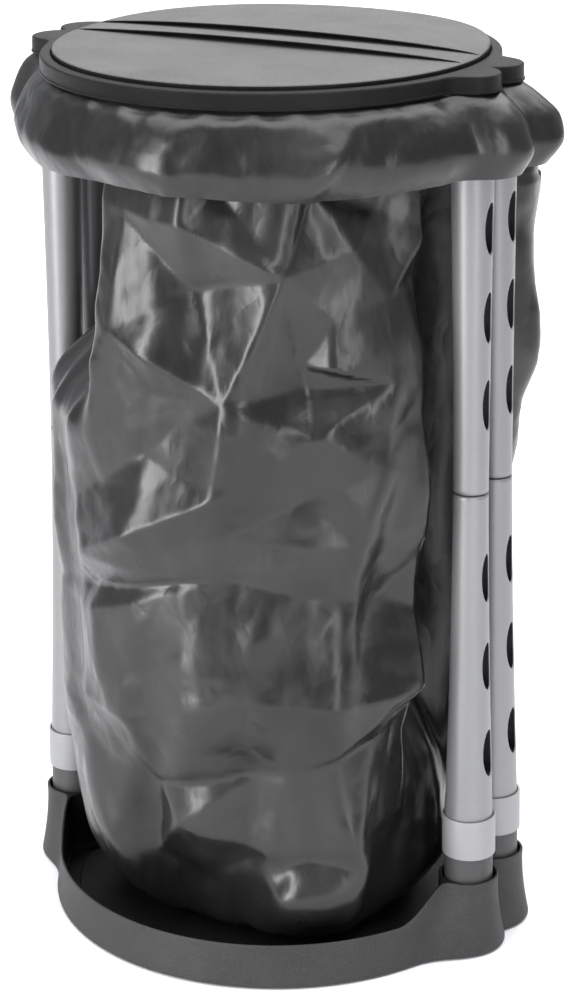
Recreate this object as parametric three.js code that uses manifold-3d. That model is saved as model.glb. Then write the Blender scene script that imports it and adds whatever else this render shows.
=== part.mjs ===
// A free-standing stand for one large refuse bag: base tray, two pairs of two-piece legs, a support
// ring that carries the bag, a clamp ring that traps its mouth, and a hinged lid.
// Millimetres, +Z up. X runs through the two pairs of legs, the lid's hinge is at +Y, and the origin
// is on the ground under the middle of the object.
import * as THREE from "three";
import { mergeVertices } from "three/addons/utils/BufferGeometryUtils.js";
import Module from "manifold-3d";

const wasm = await Module();
wasm.setup();

// ---------------------------------------------------------------- driving dimensions
const GAP = 0.3; // between pieces that touch
const WALL = 3; // moulded plastic wall

// Levels above the ground.
const RING_TOP = 823; // top edge of the clamp ring
const SKIRT_HEIGHT = 15;
const HEAD_DEPTH = 7; // tube ends below the clamp ring's skirt
const TUBE_TOP = RING_TOP - SKIRT_HEIGHT - HEAD_DEPTH;
const SEAM = 448; // joint between lower and upper tubes
const SEAM_GAP = 2;
const COLLAR_TOP = 133;
const COLLAR_BOTTOM = 94.5;
const SOCKET_TOP = 71.5;
const TRAY_WALL_TOP = 43; // lowest stretch of the tray wall
const FOOT_PROUD = 1.5; // rubber feet below the tray

// Rings, lid and tray, from the outside inwards.
const RING_RADIUS = 205;
const LID_RADIUS = RING_RADIUS - 11;
const MOUTH_RADIUS = LID_RADIUS - 16; // clear opening for waste
const SUPPORT_INNER_RADIUS = MOUTH_RADIUS + 9;
const TRAY_RADIUS = RING_RADIUS + 14.2;
const TRAY_TOP_RADIUS = TRAY_RADIUS - 4.7;

// Legs: each leg leans out a little, so its axis is given at the ground and at the ring.
const TUBE_WALL = 1.2;
const TUBE_FOOT_RADIUS = 22.3;
const TUBE_WAIST_RADIUS = 16.1;
const TUBE_HEAD_RADIUS = 20;
const TUBE_TAPER = 1.6; // power of the taper from each end to the waist
const COLLAR_RADIUS = TUBE_FOOT_RADIUS + 2.5;
const COLLAR_ROUND = 0.8;
const LEG_GROUND = { x: TRAY_RADIUS - 2.4, y: TUBE_FOOT_RADIUS + 7.2 };
const LEG_RING = { x: SUPPORT_INNER_RADIUS + TUBE_HEAD_RADIUS - 0.5, y: TUBE_HEAD_RADIUS + 3.6 };
const HOLE_HALF = { width: 8.5, height: 23 };
const UPPER_SPAN = TUBE_TOP - SEAM;
const LOWER_SPAN = SEAM - COLLAR_TOP;
const UPPER_HOLES = { middle: SEAM + 0.4575 * UPPER_SPAN, pitch: 0.2252 * UPPER_SPAN };
const LOWER_HOLES = { middle: COLLAR_TOP + 0.4746 * LOWER_SPAN, pitch: 0.2714 * LOWER_SPAN };
const JOINER_REACH = 34; // into each tube from the seam
const FOOT_PLUG_REACH = 40; // above the collar
const TOP_PLUG_REACH = 42; // below the tube's head

// Rings and lid.
const RING_LOBE = { x: LEG_RING.x, y: TUBE_HEAD_RADIUS + 4.5, radius: TUBE_HEAD_RADIUS + 4.5 };
const RING_BLEND = 16; // fillet between circle and lobe
const EDGE_CUT = 1.5; // chamfer along the top edges of the rings
const SEAT_DEPTH = 4; // the lid's seat below the ring's top edge
const LID_PLAY = 1; // round the lid
const LID_PROUD = 4.5; // lid edge above the ring
const LID_WALL = 2.6;
const SUPPORT_HEIGHT = 11;
const STEP_HALF = LID_RADIUS - 3;
const STEP_CROWN = 0.6; // power of the fall of each step towards its ends
const STEPS = [
  { y: -15.5, rise: 6, sink: 3.2 },
  { y: 22.5, rise: 8.8, sink: 7.8 },
]; // front edge of each raised panel, its rise at the middle, and how far it sinks towards the rear

// Hinge of the lid.
const HINGE_Z = RING_TOP - 4.5;
const HINGE_Y = RING_RADIUS - 1;
const HINGE_HALF_WIDTH = 63;
const KNUCKLE_RADIUS = 4.6;
const HINGE_PIN_RADIUS = 2;
const LID_ARM = { from: 21.6, to: 53.4, under: 12 };
const END_LUG_FROM = 55;
const CENTRE_LUG_HALF = 20;
const LUG = { front: 10, shoulder: 5.5, crown: 2.5, play: 0.4 }; // along Y from the hinge axis
const BAY = { depth: 7, swing: 12, beyond: 20, above: 5 }; // cut out of the ring round the hinge

// Base tray.
const TRAY_LOBE = { x: TRAY_RADIUS - 12.2, y: LEG_GROUND.y - 1.2, radius: TUBE_FOOT_RADIUS + 21.5 };
const TRAY_BLEND = { ground: 34, top: 12, inside: 14 };
const TRAY_CLIMB = { from: 15.5, to: 31 }; // degrees off the X axis over which the wall climbs
const SOCKET_WALL = 2.8;
const SOCKET_MOUTH_PLAY = 2.6; // dark gap seen round each foot plug
const SOCKET_FLARE = 18; // depth over which the socket opens to its mouth
const SOCKET_FLOOR = 13;
const TRAY_FLOOR = 6;
const LEDGE_RADIUS = TRAY_TOP_RADIUS - 18.5; // the floor grid lies on a ledge inside this radius
const LEDGE_STEP = 4; // least distance from the ledge to the tray's inner wall
const LEDGE_WIDTH = 6;
const GRID_THICKNESS = 3;
const GRID_BANDS = [
  { from: 72, to: 113, count: 18, rib: 11, chamfer: 7 },
  { from: 24, to: 61, count: 9, rib: 10, chamfer: 5 },
]; // rings of openings in the floor grid
const FOOT = { radius: 7, ring: TRAY_RADIUS - 15.7, angle: 32, recess: 2, edge: 0.6 };

// Bag.
const FILM = 0.8; // thick enough to be a solid; the real film is far thinner
const BAG_FRONT = RING_RADIUS + 5;
const BAG_REAR = RING_RADIUS + 20;
const BAG_FREE = { from: 17, to: 38 }; // degrees off the X axis over which the bag swells out
const BAG_LEVELS = [0.075, 0.25, 0.525, 0.8]; // shares of the tubes' height
const CUFF_HEM = RING_TOP - 88;
const CUFF_REACH = 29; // widest part of the cuff beyond the clamp ring

// Screws.
const SCREW_RADIUS = 2;
const SCREW_HEAD = { radius: 4.6, height: 2.6 };
const LEG_SCREW_LENGTH = 24;
const RING_SCREW_LENGTH = 26;
const SCREW_PLAY = 0.6; // round a shank that passes through
const BOSS_WALL = 5; // round a ring screw's head

// Facets.
const ROUND = 14;
const OUTLINE_POINTS = 56;
const CROWDING = 0.36; // how strongly outline points gather at the lobes
const FINE_ROUND = 12; // small bores and bars
const SCREW_ROUND = 8;
const LID_POINTS = 40;

const SIDES = [1, -1];
const DEG = Math.PI / 180;

// ---------------------------------------------------------------- geometry helpers
const lerp = THREE.MathUtils.lerp;
const smooth = (x, from, to) => THREE.MathUtils.smoothstep(x, from, to);

// A three.js geometry as a manifold-3d solid.
function toSolid(geometry) {
  const bare = geometry.index ? geometry.toNonIndexed() : geometry.clone();
  bare.deleteAttribute("normal");
  bare.deleteAttribute("uv");
  const merged = mergeVertices(bare, 1e-4);
  const mesh = new wasm.Mesh({
    numProp: 3,
    vertProperties: merged.attributes.position.array,
    triVerts: new Uint32Array(merged.index.array),
  });
  return new wasm.Manifold(mesh);
}

// A manifold-3d solid as a three.js geometry.
function toGeometry(solid) {
  const mesh = solid.getMesh();
  const geometry = new THREE.BufferGeometry();
  geometry.setAttribute("position", new THREE.BufferAttribute(mesh.vertProperties, 3));
  geometry.setIndex(new THREE.BufferAttribute(mesh.triVerts, 1));
  geometry.computeVertexNormals();
  return geometry;
}

// Rings of points joined into a surface. Each ring runs anticlockwise seen from above. A closed
// surface joins its last ring to its first; an open one is capped with a fan at each end.
function skin(rings, closed = false) {
  const count = rings[0].length;
  const positions = rings.flat().flatMap((p) => [p.x, p.y, p.z]);
  const triangles = [];
  const last = closed ? rings.length : rings.length - 1;
  for (let i = 0; i < last; i++) {
    const low = i * count;
    const high = ((i + 1) % rings.length) * count;
    for (let j = 0; j < count; j++) {
      const next = (j + 1) % count;
      triangles.push(low + j, low + next, high + next);
      triangles.push(low + j, high + next, high + j);
    }
  }
  if (!closed) {
    for (const [ring, up] of [[0, false], [rings.length - 1, true]]) {
      const middle = rings[ring]
        .reduce((sum, p) => sum.add(p), new THREE.Vector3())
        .divideScalar(count);
      const apex = positions.length / 3;
      positions.push(middle.x, middle.y, middle.z);
      for (let j = 0; j < count; j++) {
        const here = ring * count + j;
        const next = ring * count + ((j + 1) % count);
        triangles.push(apex, up ? here : next, up ? next : here);
      }
    }
  }
  const geometry = new THREE.BufferGeometry();
  geometry.setAttribute("position", new THREE.Float32BufferAttribute(positions, 3));
  geometry.setIndex(triangles);
  return geometry;
}

// A ring of points around a centre; radius is a number.
function circleRing(x, y, z, radius, count = ROUND) {
  return Array.from({ length: count }, (_, j) => {
    const angle = (j / count) * 2 * Math.PI;
    return new THREE.Vector3(x + radius * Math.cos(angle), y + radius * Math.sin(angle), z);
  });
}

// A vertical solid of circles, given as [z, radius] from the bottom up.
function turned(x, y, profile, count = ROUND) {
  return skin(profile.map(([z, radius]) => circleRing(x, y, z, radius, count)));
}

const post = (x, y, low, high, radius, count) =>
  turned(x, y, [[low, radius], [high, radius]], count);

// A bar along X with a round section.
function crossBar(from, to, y, z, radius, count = FINE_ROUND) {
  const bar = new THREE.CylinderGeometry(radius, radius, to - from, count);
  bar.rotateZ(-Math.PI / 2);
  bar.translate((from + to) / 2, y, z);
  return bar;
}

// A box given by its lowest and highest corners.
function block(low, high) {
  const box = new THREE.BoxGeometry(high[0] - low[0], high[1] - low[1], high[2] - low[2]);
  box.translate((low[0] + high[0]) / 2, (low[1] + high[1]) / 2, (low[2] + high[2]) / 2);
  return box;
}

// ---------------------------------------------------------------- lobed outlines
// Angles round the outline, closer together at the lobes on the X axis.
const ANGLES = Array.from({ length: OUTLINE_POINTS }, (_, j) => {
  const even = (j / OUTLINE_POINTS) * 2 * Math.PI;
  return even - CROWDING * Math.sin(2 * even);
});

function smoothMin(a, b, blend) {
  const near = Math.max(blend - Math.abs(a - b), 0) / blend;
  return Math.min(a, b) - (near * near * blend) / 4;
}

// The distance from the axis at which a rising function of distance crosses zero.
function crossing(value, low, high) {
  for (let i = 0; i < 40; i++) {
    const middle = (low + high) / 2;
    if (value(middle) > 0) high = middle;
    else low = middle;
  }
  return (low + high) / 2;
}

function lobeDistance(angle, distance, lobe) {
  const x = Math.abs(distance * Math.cos(angle));
  const y = Math.abs(distance * Math.sin(angle));
  return Math.hypot(x - lobe.x, y - lobe.y) - lobe.radius;
}

// Outer radius of a circle with four lobes, filleted where they meet it.
const outwardRadius = (angle, radius, lobe, blend) =>
  crossing((d) => smoothMin(d - radius, lobeDistance(angle, d, lobe), blend), 0.4 * radius, 1.6 * radius);

// Inner radius of a circular hollow that the four lobes stand into.
const inwardRadius = (angle, radius, lobe, blend) =>
  crossing(
    (d) => -smoothMin(radius - d, lobeDistance(angle, d, lobe), blend),
    0.4 * radius,
    radius + blend,
  );

const polar = (angle, radius, z) =>
  new THREE.Vector3(radius * Math.cos(angle), radius * Math.sin(angle), z);

// A closed ring whose section is a loop of [radius, z] that depends on the angle: up the outside,
// in over the top, down the inside and out underneath.
function lobedRing(section) {
  const loops = ANGLES.map(section);
  const rings = loops[0].map((_, k) => loops.map((loop, j) => polar(ANGLES[j], ...loop[k])));
  return skin(rings, true);
}

// ---------------------------------------------------------------- legs
// The axis of a leg at a height, on the side given by its two signs.
function legAt(sideX, sideY, z) {
  const t = z / RING_TOP;
  return {
    x: sideX * lerp(LEG_GROUND.x, LEG_RING.x, t),
    y: sideY * lerp(LEG_GROUND.y, LEG_RING.y, t),
  };
}

// Outer radius of the leg tubes: widest at foot and head, narrowest at the seam.
function tubeRadius(z) {
  const end = z < SEAM ? COLLAR_TOP : TUBE_TOP;
  const widest = z < SEAM ? TUBE_FOOT_RADIUS : TUBE_HEAD_RADIUS;
  const along = Math.min(Math.abs(z - SEAM) / Math.abs(end - SEAM), 1);
  return lerp(TUBE_WAIST_RADIUS, widest, along ** TUBE_TAPER);
}

// A piece of a leg: rings that follow the leg's leaning axis, given as [z, radius].
const legRings = (sideX, sideY, profile) =>
  profile.map(([z, radius]) => {
    const centre = legAt(sideX, sideY, z);
    return circleRing(centre.x, centre.y, z, radius);
  });

function ovalCutter(sideX, sideY, z) {
  const oval = new THREE.Shape();
  oval.absellipse(0, 0, HOLE_HALF.width, HOLE_HALF.height, 0, 2 * Math.PI);
  const cutter = new THREE.ExtrudeGeometry(oval, {
    depth: 2 * TUBE_FOOT_RADIUS,
    bevelEnabled: false,
    curveSegments: 5,
  });
  cutter.rotateX(Math.PI / 2);
  cutter.rotateZ((sideX * Math.PI) / 2);
  const centre = legAt(sideX, sideY, z);
  cutter.translate(centre.x, centre.y, z);
  return toSolid(cutter);
}

function tube(sideX, sideY, levels, holes) {
  const outer = levels.map((z) => [z, tubeRadius(z)]);
  const inner = levels.map((z) => [z, tubeRadius(z) - TUBE_WALL]).reverse();
  let solid = toSolid(skin(legRings(sideX, sideY, [...outer, ...inner]), true));
  for (const step of [-1, 0, 1])
    solid = solid.subtract(ovalCutter(sideX, sideY, holes.middle + step * holes.pitch));
  return toGeometry(solid);
}

const TUBE_FOOT = COLLAR_BOTTOM + WALL + GAP;

const LOWER_LEVELS = [TUBE_FOOT, COLLAR_TOP, (COLLAR_TOP + SEAM) / 2, SEAM - SEAM_GAP / 2];
const UPPER_LEVELS = [SEAM + SEAM_GAP / 2, (SEAM + TUBE_TOP) / 2, TUBE_TOP - GAP];

const lowerTube = (sideX, sideY) => tube(sideX, sideY, LOWER_LEVELS, LOWER_HOLES);

const upperTube = (sideX, sideY) => tube(sideX, sideY, UPPER_LEVELS, UPPER_HOLES);

// A plug that carries the two tube halves, with a thin flange between them.
function tubeJoiner(sideX, sideY) {
  const spigot = TUBE_WAIST_RADIUS - TUBE_WALL - GAP;
  const flange = spigot + 0.8;
  const half = SEAM_GAP / 2 - GAP;
  return skin(
    legRings(sideX, sideY, [
      [SEAM - JOINER_REACH, spigot],
      [SEAM - half, spigot],
      [SEAM - half, flange],
      [SEAM + half, flange],
      [SEAM + half, spigot],
      [SEAM + JOINER_REACH, spigot],
    ]),
  );
}

const FOOT_PLUG_HEAD = COLLAR_TOP + FOOT_PLUG_REACH;
const FOOT_SPIGOT_RADIUS = tubeRadius(FOOT_PLUG_HEAD) - TUBE_WALL - GAP;
const FOOT_PLUG_RADIUS = TUBE_FOOT_RADIUS + GAP;

// The cup round the foot of a lower tube; the tube stands on its inner lip.
function collar(sideX, sideY) {
  const seat = COLLAR_BOTTOM + WALL;
  const around = TUBE_FOOT_RADIUS + GAP;
  const lip = FOOT_SPIGOT_RADIUS + GAP;
  return skin(
    legRings(sideX, sideY, [
      [COLLAR_BOTTOM, COLLAR_RADIUS],
      [COLLAR_TOP - COLLAR_ROUND, COLLAR_RADIUS],
      [COLLAR_TOP, COLLAR_RADIUS - COLLAR_ROUND],
      [COLLAR_TOP, around],
      [seat, around],
      [seat, lip],
      [COLLAR_BOTTOM, lip],
    ]),
    true,
  );
}

// The dark plug that stands in the socket and reaches up through the collar into the tube.
function footPlug(sideX, sideY) {
  const foot = SOCKET_FLOOR + GAP;
  const shoulder = COLLAR_BOTTOM - GAP;
  const body = legRings(sideX, sideY, [
    [foot, FOOT_PLUG_RADIUS],
    [shoulder, FOOT_PLUG_RADIUS],
    [shoulder, FOOT_SPIGOT_RADIUS],
    [FOOT_PLUG_HEAD, FOOT_SPIGOT_RADIUS],
  ]);
  const axis = legAt(sideX, sideY, foot);
  const bore = SCREW_RADIUS + GAP;
  const pilot = post(axis.x, axis.y, foot - 1, foot + LEG_SCREW_LENGTH, bore, FINE_ROUND);
  return toGeometry(toSolid(skin(body)).subtract(toSolid(pilot)));
}

const TOP_PLUG_FOOT = TUBE_TOP - TOP_PLUG_REACH;

function topPlug(sideX, sideY) {
  const radius = tubeRadius(TOP_PLUG_FOOT) - TUBE_WALL - GAP;
  const body = legRings(sideX, sideY, [[TOP_PLUG_FOOT, radius], [TUBE_TOP - GAP, radius]]);
  const axis = legAt(sideX, sideY, TUBE_TOP);
  const bore = SCREW_RADIUS + GAP;
  const pilot = post(axis.x, axis.y, TUBE_TOP - RING_SCREW_LENGTH, TUBE_TOP + 1, bore, FINE_ROUND);
  return toGeometry(toSolid(skin(body)).subtract(toSolid(pilot)));
}

// ---------------------------------------------------------------- screws
// A pan-head screw whose head sits at z and whose shank runs up or down from it.
function screw(x, y, z, length, up) {
  const taper = SCREW_RADIUS * 0.4;
  const crown = SCREW_HEAD.radius * 0.6;
  const profile = [
    [0, crown],
    [SCREW_HEAD.height * 0.4, SCREW_HEAD.radius],
    [SCREW_HEAD.height, SCREW_HEAD.radius],
    [SCREW_HEAD.height, SCREW_RADIUS],
    [SCREW_HEAD.height + length - SCREW_RADIUS * 2, SCREW_RADIUS],
    [SCREW_HEAD.height + length, taper],
  ];
  const placed = profile.map(([along, radius]) => [up ? z + along : z - along, radius]);
  return turned(x, y, up ? placed : placed.reverse(), SCREW_ROUND);
}

const LEG_SCREW_SEAT = SOCKET_FLOOR - WALL;

function legScrew(sideX, sideY) {
  const axis = legAt(sideX, sideY, SOCKET_FLOOR + GAP);
  const head = LEG_SCREW_SEAT - GAP - SCREW_HEAD.height;
  return screw(axis.x, axis.y, head, LEG_SCREW_LENGTH, true);
}

const SUPPORT_TOP = TUBE_TOP + SUPPORT_HEIGHT;
const RING_SCREW_SINK = SCREW_HEAD.height + 1.4;

function ringScrew(sideX, sideY) {
  const axis = legAt(sideX, sideY, TUBE_TOP);
  const seat = SUPPORT_TOP - RING_SCREW_SINK;
  return screw(axis.x, axis.y, seat + GAP + SCREW_HEAD.height, RING_SCREW_LENGTH, false);
}

// ---------------------------------------------------------------- base tray
// Centre and radius of the socket lobes at a height: wide at the ground, drawn in towards the top.
function trayLobe(z) {
  const t = Math.min(z / SOCKET_TOP, 1);
  const top = legAt(1, 1, SOCKET_TOP);
  const topRadius = FOOT_PLUG_RADIUS + SOCKET_MOUTH_PLAY + SOCKET_WALL;
  return {
    x: lerp(TRAY_LOBE.x, top.x, t),
    y: lerp(TRAY_LOBE.y, top.y, t),
    radius: lerp(topRadius, TRAY_LOBE.radius, (1 - t) ** 1.5),
  };
}

// Outer radius of the tray at an angle and height.
function trayOuter(angle, z) {
  const t = Math.min(z / TRAY_WALL_TOP, 1);
  const circle = lerp(TRAY_RADIUS, TRAY_TOP_RADIUS, 1 - (1 - t) ** 2);
  const blend = lerp(TRAY_BLEND.ground, TRAY_BLEND.top, z / SOCKET_TOP);
  return outwardRadius(angle, circle, trayLobe(z), blend);
}

function trayInner(angle) {
  const top = legAt(1, 1, SOCKET_TOP);
  const lobe = { ...top, radius: FOOT_PLUG_RADIUS + SOCKET_MOUTH_PLAY + SOCKET_WALL };
  return inwardRadius(angle, TRAY_TOP_RADIUS - WALL, lobe, TRAY_BLEND.inside);
}

// The wall is low at front and back and climbs to the sockets.
function trayWallTop(angle) {
  const off = Math.abs(Math.asin(Math.sin(angle))) / DEG;
  return lerp(SOCKET_TOP, TRAY_WALL_TOP, smooth(off, TRAY_CLIMB.from, TRAY_CLIMB.to));
}

const ledgeRadius = (angle) => Math.min(LEDGE_RADIUS, trayInner(angle) - LEDGE_STEP);

function trayBody() {
  return lobedRing((angle) => {
    const top = trayWallTop(angle);
    const inner = trayInner(angle);
    const ledge = ledgeRadius(angle);
    const outside = [0, 0.2, 0.5, 0.8, 1].map((share) => {
      const z = lerp(FOOT_PROUD, top - 1, share);
      return [trayOuter(angle, z), z];
    });
    return [
      ...outside,
      [trayOuter(angle, top) - 1, top],
      [inner + 1, top],
      [inner, top - 1],
      [inner, TRAY_FLOOR],
      [ledge, TRAY_FLOOR],
      [ledge, TRAY_FLOOR - GRID_THICKNESS],
      [ledge - LEDGE_WIDTH, TRAY_FLOOR - GRID_THICKNESS],
      [ledge - LEDGE_WIDTH, FOOT_PROUD],
    ];
  });
}

// The hollow under one flared socket: a crescent outside the tray's inner wall.
function flareHollow(sideX, sideY) {
  const levels = [0, 20, 40];
  const rings = levels.map((z) => {
    const lobe = trayLobe(z);
    const centre = { x: sideX * lobe.x, y: sideY * lobe.y };
    return circleRing(centre.x, centre.y, z, lobe.radius - WALL, 20);
  });
  const hub = post(0, 0, -1, SOCKET_TOP, TRAY_TOP_RADIUS, 56);
  return toSolid(skin(rings)).subtract(toSolid(hub));
}

function baseTray() {
  let tray = toSolid(trayBody());
  const bores = [];
  for (const sideX of SIDES)
    for (const sideY of SIDES) {
      const axis = legAt(sideX, sideY, SOCKET_FLOOR);
      const shank = SCREW_RADIUS + SCREW_PLAY;
      const headRoom = SCREW_HEAD.radius + 1.4;
      const screwWay = turned(axis.x, axis.y, [
        [0, headRoom],
        [LEG_SCREW_SEAT, headRoom],
        [LEG_SCREW_SEAT, shank],
        [SOCKET_FLOOR + 1, shank],
      ], FINE_ROUND);
      const snug = FOOT_PLUG_RADIUS + GAP;
      const socket = skin(legRings(sideX, sideY, [
        [SOCKET_FLOOR, snug],
        [SOCKET_TOP - SOCKET_FLARE, snug],
        [SOCKET_TOP + 1, FOOT_PLUG_RADIUS + SOCKET_MOUTH_PLAY],
      ]));
      bores.push(toSolid(socket), toSolid(screwWay));
      const hollow = flareHollow(sideX, sideY);
      const sleeve = post(axis.x, axis.y, -1, SOCKET_TOP, FOOT_PLUG_RADIUS + SOCKET_WALL + 2);
      tray = tray.subtract(hollow.subtract(toSolid(sleeve)));
      const spot = footSpot(sideX, sideY);
      const recess = post(spot.x, spot.y, 0, FOOT_PROUD + FOOT.recess, FOOT.radius + GAP);
      bores.push(toSolid(recess));
    }
  for (const bore of bores) tray = tray.subtract(bore);
  return toGeometry(tray);
}

function footSpot(sideX, sideY) {
  return {
    x: sideX * FOOT.ring * Math.cos(FOOT.angle * DEG),
    y: sideY * FOOT.ring * Math.sin(FOOT.angle * DEG),
  };
}

function rubberFoot(sideX, sideY) {
  const spot = footSpot(sideX, sideY);
  return turned(spot.x, spot.y, [
    [0, FOOT.radius - FOOT.edge],
    [FOOT.edge, FOOT.radius],
    [FOOT_PROUD + FOOT.recess - GAP, FOOT.radius],
  ]);
}

// ---------------------------------------------------------------- floor grid
// One opening between two ribs: a sector of the band with its outer corners cut off.
function gridOpening(band, index) {
  const pitch = (2 * Math.PI) / band.count;
  const middle = (index + 0.5) * pitch;
  const half = (radius) => pitch / 2 - band.rib / 2 / radius;
  const corner = (radius, share) => {
    const angle = middle + share * half(radius);
    return new THREE.Vector2(radius * Math.cos(angle), radius * Math.sin(angle));
  };
  const shoulder = band.to - band.chamfer;
  return new THREE.Path([
    corner(band.from, -1),
    corner(band.from, 1),
    corner(shoulder, 1),
    corner(band.to, 0.5),
    corner(band.to, -0.5),
    corner(shoulder, -1),
  ]);
}

function floorGrid() {
  const edge = ANGLES.map((angle) => {
    const radius = ledgeRadius(angle) - GAP;
    return new THREE.Vector2(radius * Math.cos(angle), radius * Math.sin(angle));
  });
  const outline = new THREE.Shape(edge);
  for (const band of GRID_BANDS)
    for (let i = 0; i < band.count; i++) outline.holes.push(gridOpening(band, i));
  const grid = new THREE.ExtrudeGeometry(outline, { depth: GRID_THICKNESS, bevelEnabled: false });
  grid.translate(0, 0, TRAY_FLOOR - GRID_THICKNESS + GAP);
  return grid;
}

// ---------------------------------------------------------------- support ring
const ringOuter = (angle) => outwardRadius(angle, RING_RADIUS, RING_LOBE, RING_BLEND);
const SUPPORT_INSET = WALL + FILM + 2 * GAP; // leaves room for the film inside the clamp ring

function supportRing() {
  const channel = lobedRing((angle) => {
    const outer = ringOuter(angle) - SUPPORT_INSET;
    const inner = SUPPORT_INNER_RADIUS;
    return [
      [outer, TUBE_TOP],
      [outer, SUPPORT_TOP - EDGE_CUT],
      [outer - EDGE_CUT, SUPPORT_TOP],
      [inner + EDGE_CUT, SUPPORT_TOP],
      [inner, SUPPORT_TOP - EDGE_CUT],
      [inner, TUBE_TOP],
      [inner + WALL, TUBE_TOP],
      [inner + WALL, SUPPORT_TOP - WALL],
      [outer - WALL, SUPPORT_TOP - WALL],
      [outer - WALL, TUBE_TOP],
    ];
  });
  let ring = toSolid(channel);
  for (const sideX of SIDES)
    for (const sideY of SIDES) {
      const axis = legAt(sideX, sideY, TUBE_TOP);
      const boss = post(axis.x, axis.y, TUBE_TOP, SUPPORT_TOP - 1, SCREW_HEAD.radius + BOSS_WALL);
      ring = ring.add(toSolid(boss));
    }
  for (const sideX of SIDES)
    for (const sideY of SIDES) {
      const axis = legAt(sideX, sideY, TUBE_TOP);
      const seat = SUPPORT_TOP - RING_SCREW_SINK;
      const way = turned(axis.x, axis.y, [
        [TUBE_TOP - 1, SCREW_RADIUS + SCREW_PLAY],
        [seat, SCREW_RADIUS + SCREW_PLAY],
        [seat, SCREW_HEAD.radius + 0.8],
        [SUPPORT_TOP + 1, SCREW_HEAD.radius + 0.8],
      ], FINE_ROUND);
      ring = ring.subtract(toSolid(way));
    }
  return toGeometry(ring);
}

// ---------------------------------------------------------------- clamp ring
const SKIRT_BOTTOM = RING_TOP - SKIRT_HEIGHT;
const SEAT_TOP = RING_TOP - SEAT_DEPTH;
const LEDGE_RISE = 1; // the ledge round the lid climbs inwards by this much
const LIP_RADIUS = MOUTH_RADIUS + WALL;

function clampRing() {
  const body = lobedRing((angle) => {
    const outer = ringOuter(angle);
    return [
      [outer, SKIRT_BOTTOM],
      [outer, RING_TOP - EDGE_CUT],
      [outer - EDGE_CUT, RING_TOP],
      [LID_RADIUS + 3 * LID_PLAY, RING_TOP + LEDGE_RISE],
      [LID_RADIUS + LID_PLAY, RING_TOP + LEDGE_RISE / 2],
      [LID_RADIUS + LID_PLAY, SEAT_TOP],
      [MOUTH_RADIUS, SEAT_TOP],
      [MOUTH_RADIUS, SEAT_TOP - 2 * WALL],
      [LIP_RADIUS, SEAT_TOP - 2 * WALL],
      [LIP_RADIUS, SEAT_TOP - WALL],
      [outer - WALL, SEAT_TOP - WALL],
      [outer - WALL, SKIRT_BOTTOM],
    ];
  });
  let ring = toSolid(body);
  const zone = HINGE_HALF_WIDTH;
  const behind = RING_RADIUS + BAY.beyond;
  const above = RING_TOP + BAY.above;
  const hingeBay = block([-zone, HINGE_Y - BAY.depth, SKIRT_BOTTOM + WALL], [zone, behind, above]);
  const swingWay = block([-zone, HINGE_Y - BAY.swing, SEAT_TOP], [zone, behind, above]);
  ring = ring.subtract(toSolid(hingeBay)).subtract(toSolid(swingWay));
  for (const side of SIDES) {
    const low = side > 0 ? LID_ARM.from - GAP : -LID_ARM.to - GAP;
    const high = side > 0 ? LID_ARM.to + GAP : -LID_ARM.from + GAP;
    const armWay = block([low, MOUTH_RADIUS, SEAT_TOP], [high, behind, above]);
    ring = ring.subtract(toSolid(armWay));
  }
  ring = ring.add(hingeLug(-CENTRE_LUG_HALF, CENTRE_LUG_HALF));
  ring = ring.add(hingeLug(END_LUG_FROM, zone));
  ring = ring.add(hingeLug(-zone, -END_LUG_FROM));
  for (const side of SIDES) ring = ring.subtract(toSolid(pinBore(side)));
  return toGeometry(ring);
}

// A lug of the clamp ring round the hinge axis, between two places along X.
function hingeLug(from, to) {
  const rear = HINGE_Y + KNUCKLE_RADIUS + LUG.play;
  const section = new THREE.Shape([
    new THREE.Vector2(HINGE_Y - LUG.front, SEAT_TOP - WALL),
    new THREE.Vector2(RING_RADIUS - WALL, SEAT_TOP - WALL),
    new THREE.Vector2(RING_RADIUS - WALL, SKIRT_BOTTOM),
    new THREE.Vector2(rear, SKIRT_BOTTOM),
    new THREE.Vector2(rear, HINGE_Z + 2),
    new THREE.Vector2(rear - LUG.crown, HINGE_Z + KNUCKLE_RADIUS),
    new THREE.Vector2(HINGE_Y - LUG.crown, HINGE_Z + KNUCKLE_RADIUS),
    new THREE.Vector2(HINGE_Y - LUG.shoulder, HINGE_Z + 2),
    new THREE.Vector2(HINGE_Y - LUG.shoulder, SEAT_TOP),
    new THREE.Vector2(HINGE_Y - LUG.front, SEAT_TOP),
  ]);
  const lug = new THREE.ExtrudeGeometry(section, { depth: to - from, bevelEnabled: false });
  // The section's first axis becomes Y and its second Z.
  lug.applyMatrix4(new THREE.Matrix4().set(0, 0, 1, from, 1, 0, 0, 0, 0, 1, 0, 0, 0, 0, 0, 1));
  return toSolid(lug);
}

const PIN = { from: 12, to: END_LUG_FROM + 5 };

function pinSpan(side, slack) {
  const ends = [side * (PIN.from - slack), side * (PIN.to + slack)];
  return ends.sort((a, b) => a - b);
}

const pinBore = (side) => crossBar(...pinSpan(side, GAP), HINGE_Y, HINGE_Z, HINGE_PIN_RADIUS + GAP);

const hingePin = (side) => crossBar(...pinSpan(side, 0), HINGE_Y, HINGE_Z, HINGE_PIN_RADIUS);

// ---------------------------------------------------------------- lid
const LID_UNDERSIDE = SEAT_TOP + GAP + 0.2;
const LID_EDGE = RING_TOP + LID_PROUD;

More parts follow.
